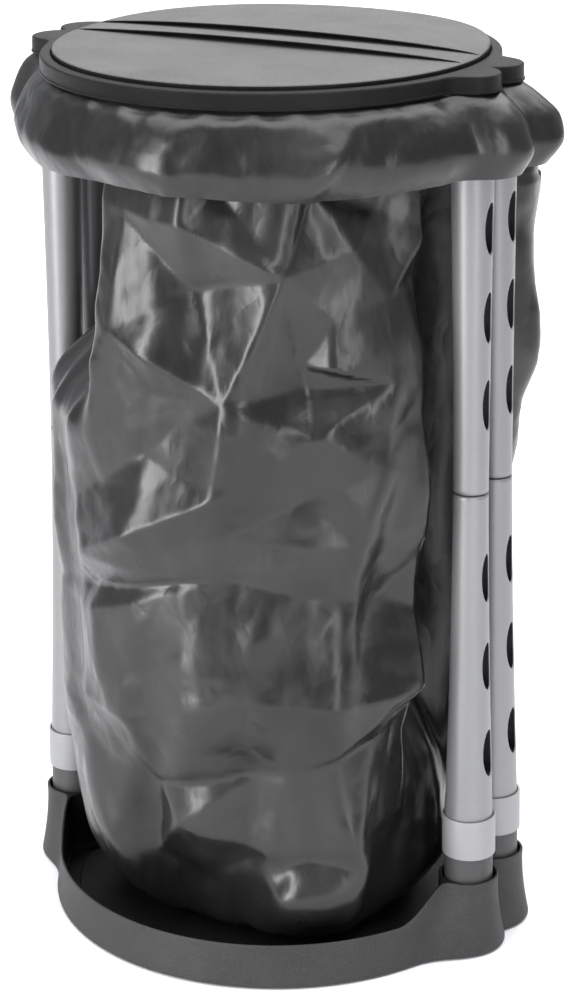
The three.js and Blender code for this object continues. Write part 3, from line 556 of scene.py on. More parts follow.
# ---------------------------------------------------------------- clamp ring
def clamp_ring():
    """The clamp ring: a section carried round the lobed outline.

    Up the skirt over a bead, over the rounded top edge, in along a ledge that climbs slightly, down to
    the seat of the lid, down the mouth, and back out underneath. Behind the hinge bay it is cut away."""
    angle = np.sort(np.concatenate([outline_angles(900), bay_edges()]))
    outer = ring_outer(angle)
    same = 0 * angle
    bead = 0.0007
    corners = [
        (outer - 0.0002, SKIRT_BOTTOM + same, 0.0004),
        (outer + bead, SKIRT_BOTTOM + 0.0002 + same, 0.0005),
        (outer + bead, SKIRT_BOTTOM + 0.0021 + same, 0.0005),
        (outer, SKIRT_BOTTOM + 0.0026 + same, 0.0004),
        (outer - 0.0004, RING_TOP + same, 0.0022),
        (LID_RADIUS + 0.0035 + same, RING_TOP + 0.001 + same, 0.0012),
        (LID_RADIUS + 0.001 + same, RING_TOP + 0.0002 + same, 0.0006),
        (LID_RADIUS + 0.001 + same, SEAT_TOP + same, 0.0003),
        (MOUTH_RADIUS + same, SEAT_TOP + same, 0.0012),
        (MOUTH_RADIUS + same, SEAT_TOP - 2 * WALL + same, 0.0006),
        (MOUTH_RADIUS + WALL + same, SEAT_TOP - 2 * WALL + same, 0.0006),
        (MOUTH_RADIUS + WALL + same, SEAT_TOP - WALL + same, 0.0003),
        (outer - WALL, SEAT_TOP - WALL + same, 0.0003),
        (outer - WALL, SKIRT_BOTTOM + same, 0.0004),
    ]
    profile = eased([np.stack(c[:2], -1) for c in corners], [c[2] for c in corners])
    radius, z = profile[..., 0], profile[..., 1]
    in_bay = (np.abs(np.cos(angle)) * RING_RADIUS < HINGE_HALF) & (np.sin(angle) > 0)
    bay_front = (HINGE_Y - 0.0075) / np.maximum(np.sin(angle), 0.5)
    beyond = in_bay & (radius > bay_front)
    radius = np.where(beyond & (z > SKIRT_BOTTOM + WALL), bay_front, radius)
    above_seat = in_bay & (z > SEAT_TOP) & (radius > (HINGE_Y - 0.012) / np.maximum(np.sin(angle), 0.5))
    z = np.where(above_seat, SEAT_TOP, z)
    points = polar(angle, radius, z)
    return make_mesh("clamp_ring_shell", points, grid_faces(*points.shape[:2], closed_rows=True))


def bay_edges():
    """Two close angles on each side of the hinge bay, so that its ends are steep."""
    edge = math.asin(HINGE_HALF / RING_RADIUS)
    return np.array([math.pi / 2 + side * (edge + shift) for side in SIDES for shift in (-2e-4, 2e-4)])


def extruded(name, outline, from_x, to_x, bevel):
    """An outline of (y, z) carried along X, its edges rounded by a bevel."""
    outline = np.array(outline)
    middle = outline.mean(0)
    loops = [np.tile(middle, (len(outline), 1)), outline, outline, np.tile(middle, (len(outline), 1))]
    xs = (from_x, from_x, to_x, to_x)
    points = np.array([[(x, *p) for p in loop] for x, loop in zip(xs, loops)])
    obj = make_mesh(name, points, grid_faces(4, len(outline)), sharp=30)
    rounding = obj.modifiers.new("rounding", "BEVEL")
    rounding.width = bevel
    rounding.segments = 3
    rounding.limit_method = "ANGLE"
    return obj


def hinge_lugs():
    """Three lugs of the clamp ring round the hinge axis, with the lid's two arms between them."""
    rear = HINGE_Y + KNUCKLE_RADIUS + 0.0004
    turn = np.radians(np.linspace(0, 90, 5))
    crown = [(rear - 0.003 + 0.003 * math.cos(a), HINGE_Z + 0.0016 + 0.003 * math.sin(a)) for a in turn]
    outline = [
        (RING_RADIUS - WALL, SKIRT_BOTTOM),
        (rear, SKIRT_BOTTOM),
        *crown,
        (HINGE_Y - 0.0025, HINGE_Z + KNUCKLE_RADIUS),
        (HINGE_Y - 0.0055, HINGE_Z + 0.002),
        (HINGE_Y - 0.0055, SEAT_TOP),
        (HINGE_Y - 0.010, SEAT_TOP - 0.0002),
        (HINGE_Y - 0.010, SEAT_TOP - WALL),
        (RING_RADIUS - WALL, SEAT_TOP - WALL),
    ]
    spans = {"right": (0.055, HINGE_HALF), "middle": (-0.020, 0.020), "left": (-HINGE_HALF, -0.055)}
    return [extruded("hinge_lug_" + k, outline, *span, 0.0005) for k, span in spans.items()]


def lid_arms():
    """The two arms that join the lid's rim to the knuckles on the hinge axis."""
    turn = np.radians(np.linspace(-150, 165, 16))
    knuckle = [
        (HINGE_Y + KNUCKLE_RADIUS * math.cos(a), HINGE_Z + KNUCKLE_RADIUS * math.sin(a)) for a in turn
    ]
    top, bottom = LID_UNDERSIDE + WALL, LID_UNDERSIDE
    outline = [(LID_RADIUS - 0.008, bottom), (HINGE_Y - 0.0048, bottom), *knuckle]
    outline = [p for p in outline if p not in knuckle or p[0] > HINGE_Y - 0.0042 or p[1] > top]
    outline += [(HINGE_Y - 0.0046, top), (LID_RADIUS - 0.008, top)]
    ends = {"right": LID_ARM, "left": (-LID_ARM[1], -LID_ARM[0])}
    return [extruded("lid_arm_" + k, outline, *span, 0.0005) for k, span in ends.items()]


# ---------------------------------------------------------------- lid
def panel_top(index, x, y):
    """Height of panel 0, 1 or 2: level at its ends, crowned across, sinking towards the rear."""
    if index == 0:
        return LID_EDGE + 0 * x
    front, rise, sink = LID_STEPS[index - 1]
    end = LID_STEPS[index][0] if index < len(LID_STEPS) else LID_RADIUS
    along = np.clip((y - front) / (end - front), 0, 1)
    crown = np.maximum(1 - (x / STEP_HALF) ** 2, 0) ** STEP_CROWN
    return LID_EDGE + (rise - sink * along) * crown


def lid():
    """The lid's shell: a disc in chords, three panels high, with a rim turned down and a flat underside.

    Each row is a chord of the disc at one place in Y. At a step the rows run under the next panel, up
    its recessed face and round its half-round nose, whose size follows the height of the step."""
    inner = LID_RADIUS - RIM_ROUND
    share = np.sin(np.linspace(-1, 1, 121) * np.pi / 2)
    rows = []

    def chord(y, height):
        x = share * math.sqrt(max(inner**2 - y**2, 0))
        rows.append(np.stack([x, y + 0 * x, height(x, y)], -1))

    front = [-inner * math.cos(a) for a in np.linspace(0, math.acos(-LID_STEPS[0][0] / inner), 34)]
    for y in front:
        chord(y, lambda x, y: panel_top(0, x, y))
    for index, (front_y, *_) in enumerate(LID_STEPS):
        x = share * math.sqrt(inner**2 - front_y**2)
        low, high = panel_top(index, x, front_y), panel_top(index + 1, x, front_y)
        step = np.maximum(high - low, 0)
        nose = np.minimum(NOSE, 0.3 * step)
        recess = np.minimum(0.007, 1.4 * step)
        rows.append(np.stack([x, front_y + 0.5 * recess, low], -1))
        rows.append(np.stack([x, front_y + recess, low], -1))
        rows.append(np.stack([x, front_y + recess, high - 2 * nose], -1))
        for turn in np.radians(np.linspace(-90, 90, 11)):
            y = front_y + nose * (1 - math.cos(turn))
            rows.append(np.stack([x, y, high - nose + nose * math.sin(turn)], -1))
        after = LID_STEPS[index + 1][0] if index + 1 < len(LID_STEPS) else None
        start = front_y + 0.008
        if after is not None:
            places = np.linspace(start, after, 10)
        else:
            turn = np.linspace(math.acos(-start / inner), math.pi, 34)
            places = -inner * np.cos(turn)
            places[-1] = inner
        for y in places:
            chord(y, lambda x, y, panel=index + 1: panel_top(panel, x, y))
    top = np.array(rows)
    count, across = top.shape[:2]
    loop = np.concatenate(
        [top[0, :], top[1:, -1], top[-1, -2::-1], top[-2:0:-1, 0]]
    )
    radial = loop[:, :2] / np.maximum(np.linalg.norm(loop[:, :2], axis=1, keepdims=True), 1e-9)
    round_edge = [
        (RIM_ROUND * math.sin(a), RIM_ROUND * (math.cos(a) - 1)) for a in np.radians(np.linspace(15, 90, 6))
    ]
    rim = [
        np.concatenate([radial * (inner + out), (loop[:, 2] + down)[:, None]], 1)
        for out, down in round_edge
    ]
    levels = (
        (RIM_ROUND, LID_UNDERSIDE + 0.0005),
        (0.0013, LID_UNDERSIDE),
        (-0.0003, LID_UNDERSIDE),
        (-0.0008, LID_EDGE - 0.0036),
        (-RIM_ROUND, LID_CEILING),
    )
    for out, z in levels:
        rim.append(np.concatenate([radial * (inner + out), np.full((len(loop), 1), z)], 1))
    rim = np.array([loop, *rim])
    under = np.linspace(0.98, 0, 12)[:, None, None] * np.concatenate([rim[-1][:, :2], 0 * loop[:, :1]], 1)
    under[..., 2] = LID_CEILING
    around = np.concatenate([rim, under])
    top_faces = grid_faces(count, across, closed_columns=False)
    around_faces = grid_faces(*around.shape[:2])[:, ::-1] + count * across
    faces = np.concatenate([top_faces, around_faces])
    points = np.concatenate([top.reshape(-1, 3), around.reshape(-1, 3)])
    return make_mesh("lid_shell", points, faces, sharp=50)


def paint_shade_on(shell, finish, chosen):
    """Paints shade on the chosen faces of a moulding: they get a second, darker material as painted shade.
    """
    shell.data.materials.append(finish)
    for face in shell.data.polygons:
        if chosen(face):
            face.material_index = 1


def lid_shade_faces(face):
    """The lid's rim and the risers of its steps, which get the ring's black plastic as painted shade."""
    return face.normal.z < 0.55


def tray_shade_faces(face):
    """Every face of the tray that doesn't look outwards: these get the darker plastic as painted shade."""
    return face.normal.xy.dot(face.center.xy.normalized()) < 0.3


# ---------------------------------------------------------------- refuse bag
def facet_net(around, up, cells, rows, seed):
    """Random heights at the nodes of a triangular net, straight between them, like creased film.

    around and up are shares of the net's width and height; the net closes on itself around."""
    table = np.random.default_rng(seed).uniform(-1, 1, (rows + 3, cells))
    q = np.clip(up, 0, 1) * rows
    j = np.floor(q).astype(int)
    f = q - j
    odd = j % 2
    t = around * cells - 0.5 * odd - f / 2
    i = np.floor(t).astype(int)
    t = t - i
    over = i + odd

    def node(row, column):
        return table[row, column % cells]

    rising = (1 - f - t) * node(j, i) + t * node(j, i + 1) + f * node(j + 1, over)
    falling = (1 - f) * node(j, i + 1) + (1 - t) * node(j + 1, over) + (t - 1 + f) * node(j + 1, over + 1)
    return np.where(t < 1 - f, rising, falling)


def soft_net(around, up, cells, rows, seed):
    """Smooth noise that closes on itself around: random values blended by a smoothstep between nodes."""
    table = np.random.default_rng(seed).uniform(-1, 1, (rows + 3, cells))
    p, q = around * cells, np.clip(up, 0, 1) * rows
    i, j = np.floor(p).astype(int), np.floor(q).astype(int)
    s, t = smoothstep(p - i, 0, 1), smoothstep(q - j, 0, 1)
    low = table[j, i % cells] * (1 - s) + table[j, (i + 1) % cells] * s
    high = table[j + 1, i % cells] * (1 - s) + table[j + 1, (i + 1) % cells] * s
    return low * (1 - t) + high * t


# The main creases of the front of the bag, point by point: angle round the stand in degrees, height in
# metres, and how many millimetres the film stands out there.
CREASE_POINTS = {
    "a": (-104, 0.712, 3), "b": (-85, 0.706, 15), "c": (-77, 0.738, -6), "d": (-84, 0.646, -12),
    "e": (-106, 0.609, 12), "f": (-94, 0.558, -2), "g": (-74.5, 0.555, 13), "h": (-59, 0.666, 14),
    "i": (-54.5, 0.738, 8), "j": (-50.5, 0.735, -10), "k": (-46.5, 0.620, 10), "l": (-47, 0.578, 12),
    "m": (-54, 0.580, -6), "n": (-30, 0.563, 14), "o": (-29.5, 0.638, 12), "p": (-17, 0.690, 4),
    "q": (-40, 0.683, 16), "r": (-32, 0.712, -4), "s": (-52, 0.555, -10), "t": (-52.5, 0.522, 6),
    "u": (-55, 0.465, -2), "v": (-34, 0.490, 13), "w": (-21, 0.555, 4), "x": (-77, 0.469, 15),
    "y": (-98, 0.496, -10), "z": (-124, 0.440, 4), "A": (-128, 0.375, 2), "B": (-116, 0.395, 14),
    "C": (-75, 0.430, -6), "D": (-77, 0.390, -10), "E": (-128, 0.350, -8), "F": (-40.5, 0.420, 8),
    "G": (-29, 0.360, -8), "H": (-73.5, 0.276, 13), "I": (-105, 0.240, 12), "J": (-112, 0.200, -6),
    "K": (-25.5, 0.266, 13), "L": (-102, 0.168, -8), "M": (-54.7, 0.200, -10), "N": (-92.5, 0.139, 10),
    "O": (-68.4, 0.193, -8), "P": (-29, 0.135, 11), "Q": (-65.6, 0.116, 10), "R": (-53.5, 0.052, 8),
    "S": (-107, 0.090, 0), "T": (-90, 0.075, -8), "U": (-26, 0.236, -10), "V": (-28, 0.165, 4),
}
CREASE_LINES = (
    "abc", "eg", "ef", "hi", "hk", "kl", "lop", "jqrp", "mn", "sn", "nv", "vt", "xBA", "xyB", "DF", "EDF",
    "IHK", "NOMU", "NQ", "QP", "QR", "MP", "bd", "gx", "hg",
)
LOOSE_SPACING = (22, 0.075)
LOOSE_OUT = 13


def crease_net():
    """The corners and triangles of the bag's flat facets, over (angle in degrees, height).

    The front has its own creases; the rest of the way round, points stand in a staggered grid, moved at
    random. The net runs past both ends of the circle, so that every angle lies inside it."""
    random = np.random.default_rng(7)
    names = list(CREASE_POINTS)
    front = [CREASE_POINTS[name] for name in names]
    step, rise = LOOSE_SPACING
    loose = []
    for row, height in enumerate(np.arange(-0.03, 0.90, rise)):
        for place in np.arange(-180 + (row % 2) * step / 2, 178, step):
            moved = place + random.uniform(-0.3, 0.3) * step
            lifted = height + random.uniform(-0.3, 0.3) * rise
            out = random.uniform(-1, 1) * LOOSE_OUT
            if not (-122 < moved < -16 and 0.03 < lifted < 0.76):
                loose.append((moved, lifted, out))
    once = np.array(front + loose, float)
    points = np.concatenate([once + (turn, 0, 0) for turn in (0, -360, 360)])
    edges = [(names.index(p), names.index(q)) for line in CREASE_LINES for p, q in zip(line, line[1:])]
    metres_per_degree = np.radians(RING_RADIUS)
    flat = [Vector((angle * metres_per_degree, height)) for angle, height, _ in points]
    corners, _, triangles, sources, *_ = delaunay_2d_cdt(flat, edges, [], 0, 1e-5)
    out = np.array([points[source[0], 2] if source else 0.0 for source in sources])
    return np.array([tuple(c) for c in corners]), out, triangles


def facets(angle, z):
    """How far the film stands out at each place, in metres: straight between the corners of its facets."""
    corners, out, triangles = crease_net()
    u, v = np.degrees((angle + np.pi) % (2 * np.pi) - np.pi) * np.radians(RING_RADIUS), z
    result = np.zeros(np.shape(angle))
    for triangle in triangles:
        (ax, ay), (bx, by), (cx, cy) = corners[list(triangle)]
        beside = (u >= min(ax, bx, cx)) & (u <= max(ax, bx, cx))
        level = (v >= min(ay, by, cy)) & (v <= max(ay, by, cy))
        index = np.nonzero(beside & level)[0]
        area = (bx - ax) * (cy - ay) - (cx - ax) * (by - ay)
        b = ((u[index] - ax) * (cy - ay) - (cx - ax) * (v[index] - ay)) / area
        c = ((bx - ax) * (v[index] - ay) - (u[index] - ax) * (by - ay)) / area
        inside = (b >= -1e-9) & (c >= -1e-9) & (b + c <= 1 + 1e-9)
        here = index[inside]
        ends = out[list(triangle)]
        result[here] = ends[0] + (ends[1] - ends[0]) * b[inside] + (ends[2] - ends[0]) * c[inside]
    return result * 0.001


def crumple(around, up):
    """Small creases: facets of two sizes on a net bent by smooth noise, about -1 to 1."""
    bend = 0.02 * soft_net(around, up, 14, 11, 3)
    lift = 0.03 * soft_net(around, up, 13, 10, 4)
    a, b = around + bend, np.clip(up + lift, 0, 1)
    coarse, middle = facet_net(a, b, 25, 16, 12), facet_net(a + 0.5 * lift, b, 52, 34, 13)
    return 0.6 * coarse + 0.27 * middle + 0.13 * facet_net(a, b + 0.5 * bend, 97, 64, 14)


def sector(angle, start, end, soft):
    """1 between two directions in degrees, easing to 0 over a few degrees outside them."""
    middle, half = (start + end) / 2, (end - start) / 2
    away = np.abs((np.degrees(angle) - middle + 180) % 360 - 180)
    return 1 - smoothstep(away, half, half + soft)


def belly_radius(angle, z):
    """Distance of the bag's body from the axis: drawn in beside the legs and bulging between them.

    A flap swells out in front of the left pair of legs, and the back bulges past the right pair."""
    inside = SUPPORT_RADIUS - 0.003
    free = smoothstep(off_axis(angle), 15, 34)
    rise = np.clip((z - 0.05) / (TUBE_TOP - 0.07), 0, 1)
    belly = np.sin(np.pi * rise) ** 0.6
    bulge = np.where(np.sin(angle) < 0, BELLY_FRONT, BELLY_REAR)
    radius = inside + (bulge - inside) * belly * free
    radius -= 0.016 * (1 - free) * belly
    flap = sector(angle, -160, -146, 14) * smoothstep(z, 0.36, 0.42) * (1 - smoothstep(z, 0.54, 0.64))
    rear = sector(angle, 24, 38, 16) * smoothstep(z, 0.34, 0.46) * smoothstep(0.79 - z, 0, 0.05)
    return radius + (FLAP_RADIUS - radius) * flap + (REAR_RADIUS - radius) * rear


def tucked(angle, z):
    """How much of its distance from the axis the film loses where it is tucked in beside the front legs."""
    below_ring = smoothstep(TUCK_TOP - z, 0, 0.05)
    left = sector(angle, -192, -121, 9) * smoothstep(z, 0.50, 0.62)
    right = sector(angle, -12, 6, 7) * smoothstep(z, 0.10, 0.30)
    return (LEFT_TUCK * left + RIGHT_TUCK * right) * below_ring


def waste_bag():
    """The bag as one film: up from the middle of the floor, over the support ring, and down as the cuff.

    For each angle the film follows a line of (radius, height) through a few stations, with facets on the
    cuff. It then hangs as cloth, and last of all it is creased."""
    columns = 168
    angle = even_angles(columns)
    ring = ring_outer(angle)
    floor = TRAY_FLOOR + 0.0022
    over = SUPPORT_TOP + 0.0006
    outside = ring - WALL - 0.0006
    same = 0 * angle
    share = angle / (2 * np.pi)
    hem = CUFF_HEM + 0.006 * soft_net(share, same, 7, 1, 21)
    foot = FOOT_RADIUS + 0.006 * soft_net(share, same, 6, 1, 22)
    foot += FOOT_FOLD * sector(angle, -58, -42, 14) - FOOT_HOLLOW * sector(angle, -102, -74, 12)
    stations = [(same + r, floor + same) for r in (0.0, 0.035, 0.07)]
    stations += [(foot - 0.01, floor + 0.001 + same), (foot + 0.014, floor + 0.010 + same)]
    stations += [(foot + 0.044, floor + 0.028 + same), (foot + 0.070, floor + 0.055 + same)]
    heights = np.linspace(0.11, TUBE_TOP - 0.02, 12)
    for z in heights:
        settle = smoothstep(z, 0.06, 0.14)
        body = belly_radius(angle, z)
        stations.append((foot + 0.084 + (body - foot - 0.084) * settle, z + same))
    stations += [
        (SUPPORT_RADIUS - 0.002 + same, TUBE_TOP - 0.004 + same),
        (SUPPORT_RADIUS - 0.001 + same, over - 0.003 + same),
        (SUPPORT_RADIUS + 0.002 + same, over + same),
        (outside - 0.003, over + same),
        (outside - 0.0004, over - 0.002 + same),
        (outside, SKIRT_BOTTOM - 0.0005 + same),
        (ring + 0.004, SKIRT_BOTTOM - 0.004 + same),
        (ring + 0.014, SKIRT_BOTTOM - 0.015 + same),
        (ring + 0.024, SKIRT_BOTTOM - 0.031 + same),
        (ring + 0.0285, SKIRT_BOTTOM - 0.046 + same),
        (ring + 0.0245, hem + 0.012),
        (ring + 0.016, hem),
    ]
    knots = np.array([np.stack(s, -1) for s in stations])
    line = smooth_through(knots, 145)
    radius, z = line[..., 0], line[..., 1]
    share = np.broadcast_to(share[None, :], radius.shape)
    path = np.broadcast_to(np.linspace(0, 1, len(line))[:, None], radius.shape)
    cuff_part = np.where(radius > outside + 1e-4, smoothstep(SKIRT_BOTTOM - z, 0.002, 0.03), 0.0)
    radius = radius + 0.005 * facet_net(share, path, 17, 14, 31) * cuff_part
    points = polar(angle, radius, z)
    film = make_mesh("bag_film", points, grid_faces(*points.shape[:2]), sharp=180)
    let_hang(film)
    crease(film)
    return film


def crease(film):
    """Divides the film once, draws it in beside the front legs, and moves it by its flat facets and small
    creases: most on the body and the cuff, and not where it is clamped."""
    finer = film.modifiers.new("finer", "SUBSURF")
    finer.levels = 1
    finer.render_levels = 1
    bake(film, finer)
    co = np.array([v.co for v in film.data.vertices])
    angle, radius, z = np.arctan2(co[:, 1], co[:, 0]), np.hypot(co[:, 0], co[:, 1]), co[:, 2]
    ring = ring_outer(angle)
    outside = radius > ring - WALL - 0.001
    body = smoothstep(z, 0.03, 0.09) * smoothstep(BODY_TOP - z, 0, 0.03) * ~(outside & (z > CUFF_HEM - 0.03))
    cuff = smoothstep(SKIRT_BOTTOM - z, 0.002, 0.03) * outside * (z > CUFF_HEM - 0.03)
    foot = smoothstep(radius, 0.09, 0.13) * smoothstep(0.07 - z, 0, 0.03)
    beside_leg = 1 - 0.7 * np.maximum(smoothstep(20 - off_axis(angle), 0, 8), sector(angle, -165, -130, 8))
    share = (angle / (2 * np.pi)) % 1
    small = crumple(share, np.clip(z / RING_TOP, 0, 1))
    radius = radius * (1 - tucked(angle, z) * body)
    radius = radius + facets(angle, z) * (body * beside_leg + 0.55 * cuff)
    radius = radius + small * (0.0038 * body + 0.0042 * cuff)
    co[:, 0], co[:, 1] = radius * np.cos(angle), radius * np.sin(angle)
    co[:, 2] += np.abs(crumple(share, np.clip(radius / RING_RADIUS, 0, 1))) * 0.006 * foot
    film.data.vertices.foreach_set("co", co.ravel())
    film.data.update()


def bake(obj, modifier):
    """Keeps the object's mesh as its modifiers leave it, and takes the modifier away."""
    bpy.context.view_layer.update()
    evaluated = obj.evaluated_get(bpy.context.evaluated_depsgraph_get())
    old, obj.data = obj.data, bpy.data.meshes.new_from_object(evaluated)
    obj.modifiers.remove(modifier)
    bpy.data.meshes.remove(old)


def let_hang(film):
    """Lets the film hang, swell and crumple: a cloth a little larger than the space it has, held where it
    is clamped and resting against the tubes, the tray and the ring."""
    co = np.array([v.co for v in film.data.vertices])
    radius, z = np.hypot(co[:, 0], co[:, 1]), co[:, 2]
    ring = ring_outer(np.arctan2(co[:, 1], co[:, 0]))
    clamped = (z > SKIRT_BOTTOM - 0.002) | ((z > TUBE_TOP - 0.012) & (radius < SUPPORT_RADIUS + 0.002))
    centre = (radius < 0.09) & (z < 0.05)
    cuff = (radius > ring - 0.002) & (z > 0.68) & ~clamped
    hold = np.where(clamped | centre, 1.0, np.where(cuff, CUFF_HOLD, 0.0))
    group = film.vertex_groups.new(name="hold")
    for value in (1.0, CUFF_HOLD):
        group.add([int(k) for k in np.nonzero(hold == value)[0]], value, "REPLACE")
    walls = [collider(name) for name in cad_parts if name.startswith(TOUCHED)]
    cloth = film.modifiers.new("film", "CLOTH")
    kind = cloth.settings
    kind.quality = 6
    kind.mass = 0.04
    kind.tension_stiffness = 30
    kind.compression_stiffness = 30
    kind.shear_stiffness = 10
    kind.bending_stiffness = 0.5
    kind.tension_damping = 10
    kind.compression_damping = 10
    kind.air_damping = 3
    kind.vertex_group_mass = "hold"
    kind.pin_stiffness = 1.0
    kind.shrink_min = -GROWTH
    kind.use_pressure = True
    kind.uniform_pressure_force = 0.25
    cloth.collision_settings.distance_min = 0.002
    cloth.collision_settings.collision_quality = 2
    cloth.point_cache.frame_end = SETTLE_FRAMES
    for step in range(1, SETTLE_FRAMES + 1):
        bpy.context.scene.frame_set(step)
    bake(film, cloth)
    film.vertex_groups.clear()
    smoothed = film.modifiers.new("smoothed", "SMOOTH")
    smoothed.factor = 0.5
    smoothed.iterations = 10
    loose = film.vertex_groups.new(name="loose")
    loose.add([int(k) for k in np.nonzero(~clamped & ~cuff)[0]], 1.0, "REPLACE")
    smoothed.vertex_group = "loose"
    bake(film, smoothed)
    film.vertex_groups.clear()
    for wall in walls:
        bpy.data.objects.remove(wall)
    bpy.context.scene.frame_set(1)


def collider(name):
    """A merged copy of a frame node, for the film to rest against."""
    merged = bmesh.new()
    merged.from_mesh(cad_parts[name].data)
    bmesh.ops.remove_doubles(merged, verts=merged.verts, dist=1e-6)
    mesh = bpy.data.meshes.new("wall")
    merged.to_mesh(mesh)
    merged.free()
    obj = bpy.data.objects.new("wall", mesh)
    bpy.context.scene.collection.objects.link(obj)
    touch = obj.modifiers.new("touch", "COLLISION")
    touch.settings.thickness_outer = 0.001
    touch.settings.cloth_friction = 5
    return obj


def smooth_through(knots, count):
    """A smooth line through each column of knots (Catmull-Rom), sampled evenly along its mean length."""
    length = np.linalg.norm(np.diff(knots, axis=0), axis=-1).mean(1)
    place = np.concatenate([[0], np.cumsum(length)])
    at = np.linspace(0, place[-1], count)
    k = np.clip(np.searchsorted(place, at, side="right") - 1, 0, len(knots) - 2)
    t = ((at - place[k]) / (place[k + 1] - place[k]))[:, None, None]
    padded = np.concatenate([knots[:1], knots, knots[-1:]])
    p0, p1, p2, p3 = padded[k], padded[k + 1], padded[k + 2], padded[k + 3]
    ends = 2 * p1 + (p2 - p0) * t
    return 0.5 * (ends + (2 * p0 - 5 * p1 + 4 * p2 - p3) * t**2 + (3 * p1 - p0 - 3 * p2 + p3) * t**3)


# ---------------------------------------------------------------- materials
class Number:
    """A socket that carries one number; arithmetic on it adds Math nodes."""

    def __init__(self, paint, socket):
        self.paint = paint
        self.socket = socket

    def math(self, operation, *others):
        return self.paint.math(operation, self, *others)

    def __add__(self, other):
        return self.math("ADD", other)

    def __sub__(self, other):
        return self.math("SUBTRACT", other)

    def __rsub__(self, other):
        return self.paint.math("SUBTRACT", other, self)

    def __mul__(self, other):
        return self.math("MULTIPLY", other)

    __radd__ = __add__
    __rmul__ = __mul__


class Paint:
    """One material's nodes round a Principled shader."""

    def __init__(self, name, **fixed):
        self.material = bpy.data.materials.new(name)
        self.material.use_nodes = True
        self.tree = self.material.node_tree
        self.shader = self.tree.nodes["Principled BSDF"]
        for socket, value in fixed.items():
            self.shader.inputs[socket.replace("_", " ")].default_value = value
        self.place = self.node("TexCoord").outputs["Object"]

    def node(self, kind, settings=None, **sockets):
        made = self.tree.nodes.new("ShaderNode" + kind)
        for key, value in (settings or {}).items():
            setattr(made, key, value)
        for key, value in sockets.items():
            self.feed(made.inputs[int(key[1:]) if key[1:].isdigit() else key.replace("_", " ")], value)
        return made

    def feed(self, socket, value):
        if isinstance(value, Number):
            value = value.socket
        if isinstance(value, bpy.types.NodeSocket):
            self.tree.links.new(value, socket)
        else:
            socket.default_value = value

    def math(self, operation, *values):
        sockets = {f"i{k}": value for k, value in enumerate(values)}
        return Number(self, self.node("Math", {"operation": operation}, **sockets).outputs[0])

    def noise(self, scale, detail=2.0, stretch=(1, 1, 1), roughness=0.5):
        place = self.node("Mapping", None, Vector=self.place, Scale=stretch).outputs[0]
        made = self.node("TexNoise", None, Vector=place, Scale=scale, Detail=detail, Roughness=roughness)
        return Number(self, made.outputs[0])

    def cells(self, scale, stretch=(1, 1, 1), feature="F1"):
        place = self.node("Mapping", None, Vector=self.place, Scale=stretch).outputs[0]
        made = self.node("TexVoronoi", {"feature": feature}, Vector=place, Scale=scale)
        return Number(self, made.outputs["Distance"])

    def ramp(self, value, low, high):
        """The value mapped so that low becomes 0 and high becomes 1, clamped."""
        made = self.node("MapRange", {"clamp": True}, Value=value, From_Min=low, From_Max=high)
        return Number(self, made.outputs[0])

    def colour(self, factor, dark, light):
        made = self.node("Mix", {"data_type": "RGBA"}, i0=factor, i6=(*dark, 1), i7=(*light, 1))
        self.feed(self.shader.inputs["Base Color"], made.outputs[2])

    def roughness(self, value):
        self.feed(self.shader.inputs["Roughness"], value)

    def bump(self, height, distance, strength=1.0):
        made = self.node("Bump", None, Height=height, Distance=distance, Strength=strength)
        self.feed(self.shader.inputs["Normal"], made.outputs[0])


def grey(value):
    """A very slightly cool grey."""
    return (value, value, value * 1.02)


def grained_plastic(name, dark, light, rough, grain, shine=0.35):
    """Moulded plastic with a fine leather-like grain, slight mottling and rubbed, smoother patches."""
    paint = Paint(name, Specular_IOR_Level=shine)
    fine = paint.cells(grain)
    mottling = paint.noise(16, 3)
    speck = paint.ramp(fine, 0.15, 0.75)
    paint.colour(paint.ramp(mottling, 0.3, 0.7) * 0.3 + speck * 0.7, grey(dark), grey(light))
    paint.roughness(0.1 * paint.noise(45, 2) + rough - 0.05)
    paint.bump(speck, 0.0003, 0.8)
    return paint.material


def smooth_plastic(name, dark, light, rough):
    """Smooth moulded plastic with faint flow marks and fine scuffs."""
    paint = Paint(name)
    cloud = paint.noise(22, 3)
    scuff = paint.noise(260, 4, (1, 1, 0.25), 0.65)
    paint.colour(paint.ramp(cloud, 0.3, 0.7), grey(dark), grey(light))
    paint.roughness(rough + 0.14 * paint.ramp(scuff, 0.45, 0.75))
    paint.bump(scuff, 0.00004, 0.5)
    return paint.material


def satin_metal(name, tone, rough, metallic):
    """Satin anodised tube: fine hoop-wise grain, a soft cloudiness and a powdery micro texture."""
    paint = Paint(name, Metallic=metallic)
    hoop = paint.noise(300, 3, (0.05, 0.05, 3), 0.6)
    powder = paint.noise(2600, 2)
    cloud = paint.noise(9, 3, (1, 1, 0.5))
    factor = paint.ramp(cloud, 0.3, 0.7) * 0.5 + paint.ramp(hoop, 0.35, 0.65) * 0.5
    paint.colour(factor, grey(tone * 0.93), grey(tone))
    paint.roughness(rough + 0.08 * hoop + 0.06 * powder)
    paint.bump(powder * 0.6 + hoop * 0.4, 0.00005, 0.5)
    return paint.material


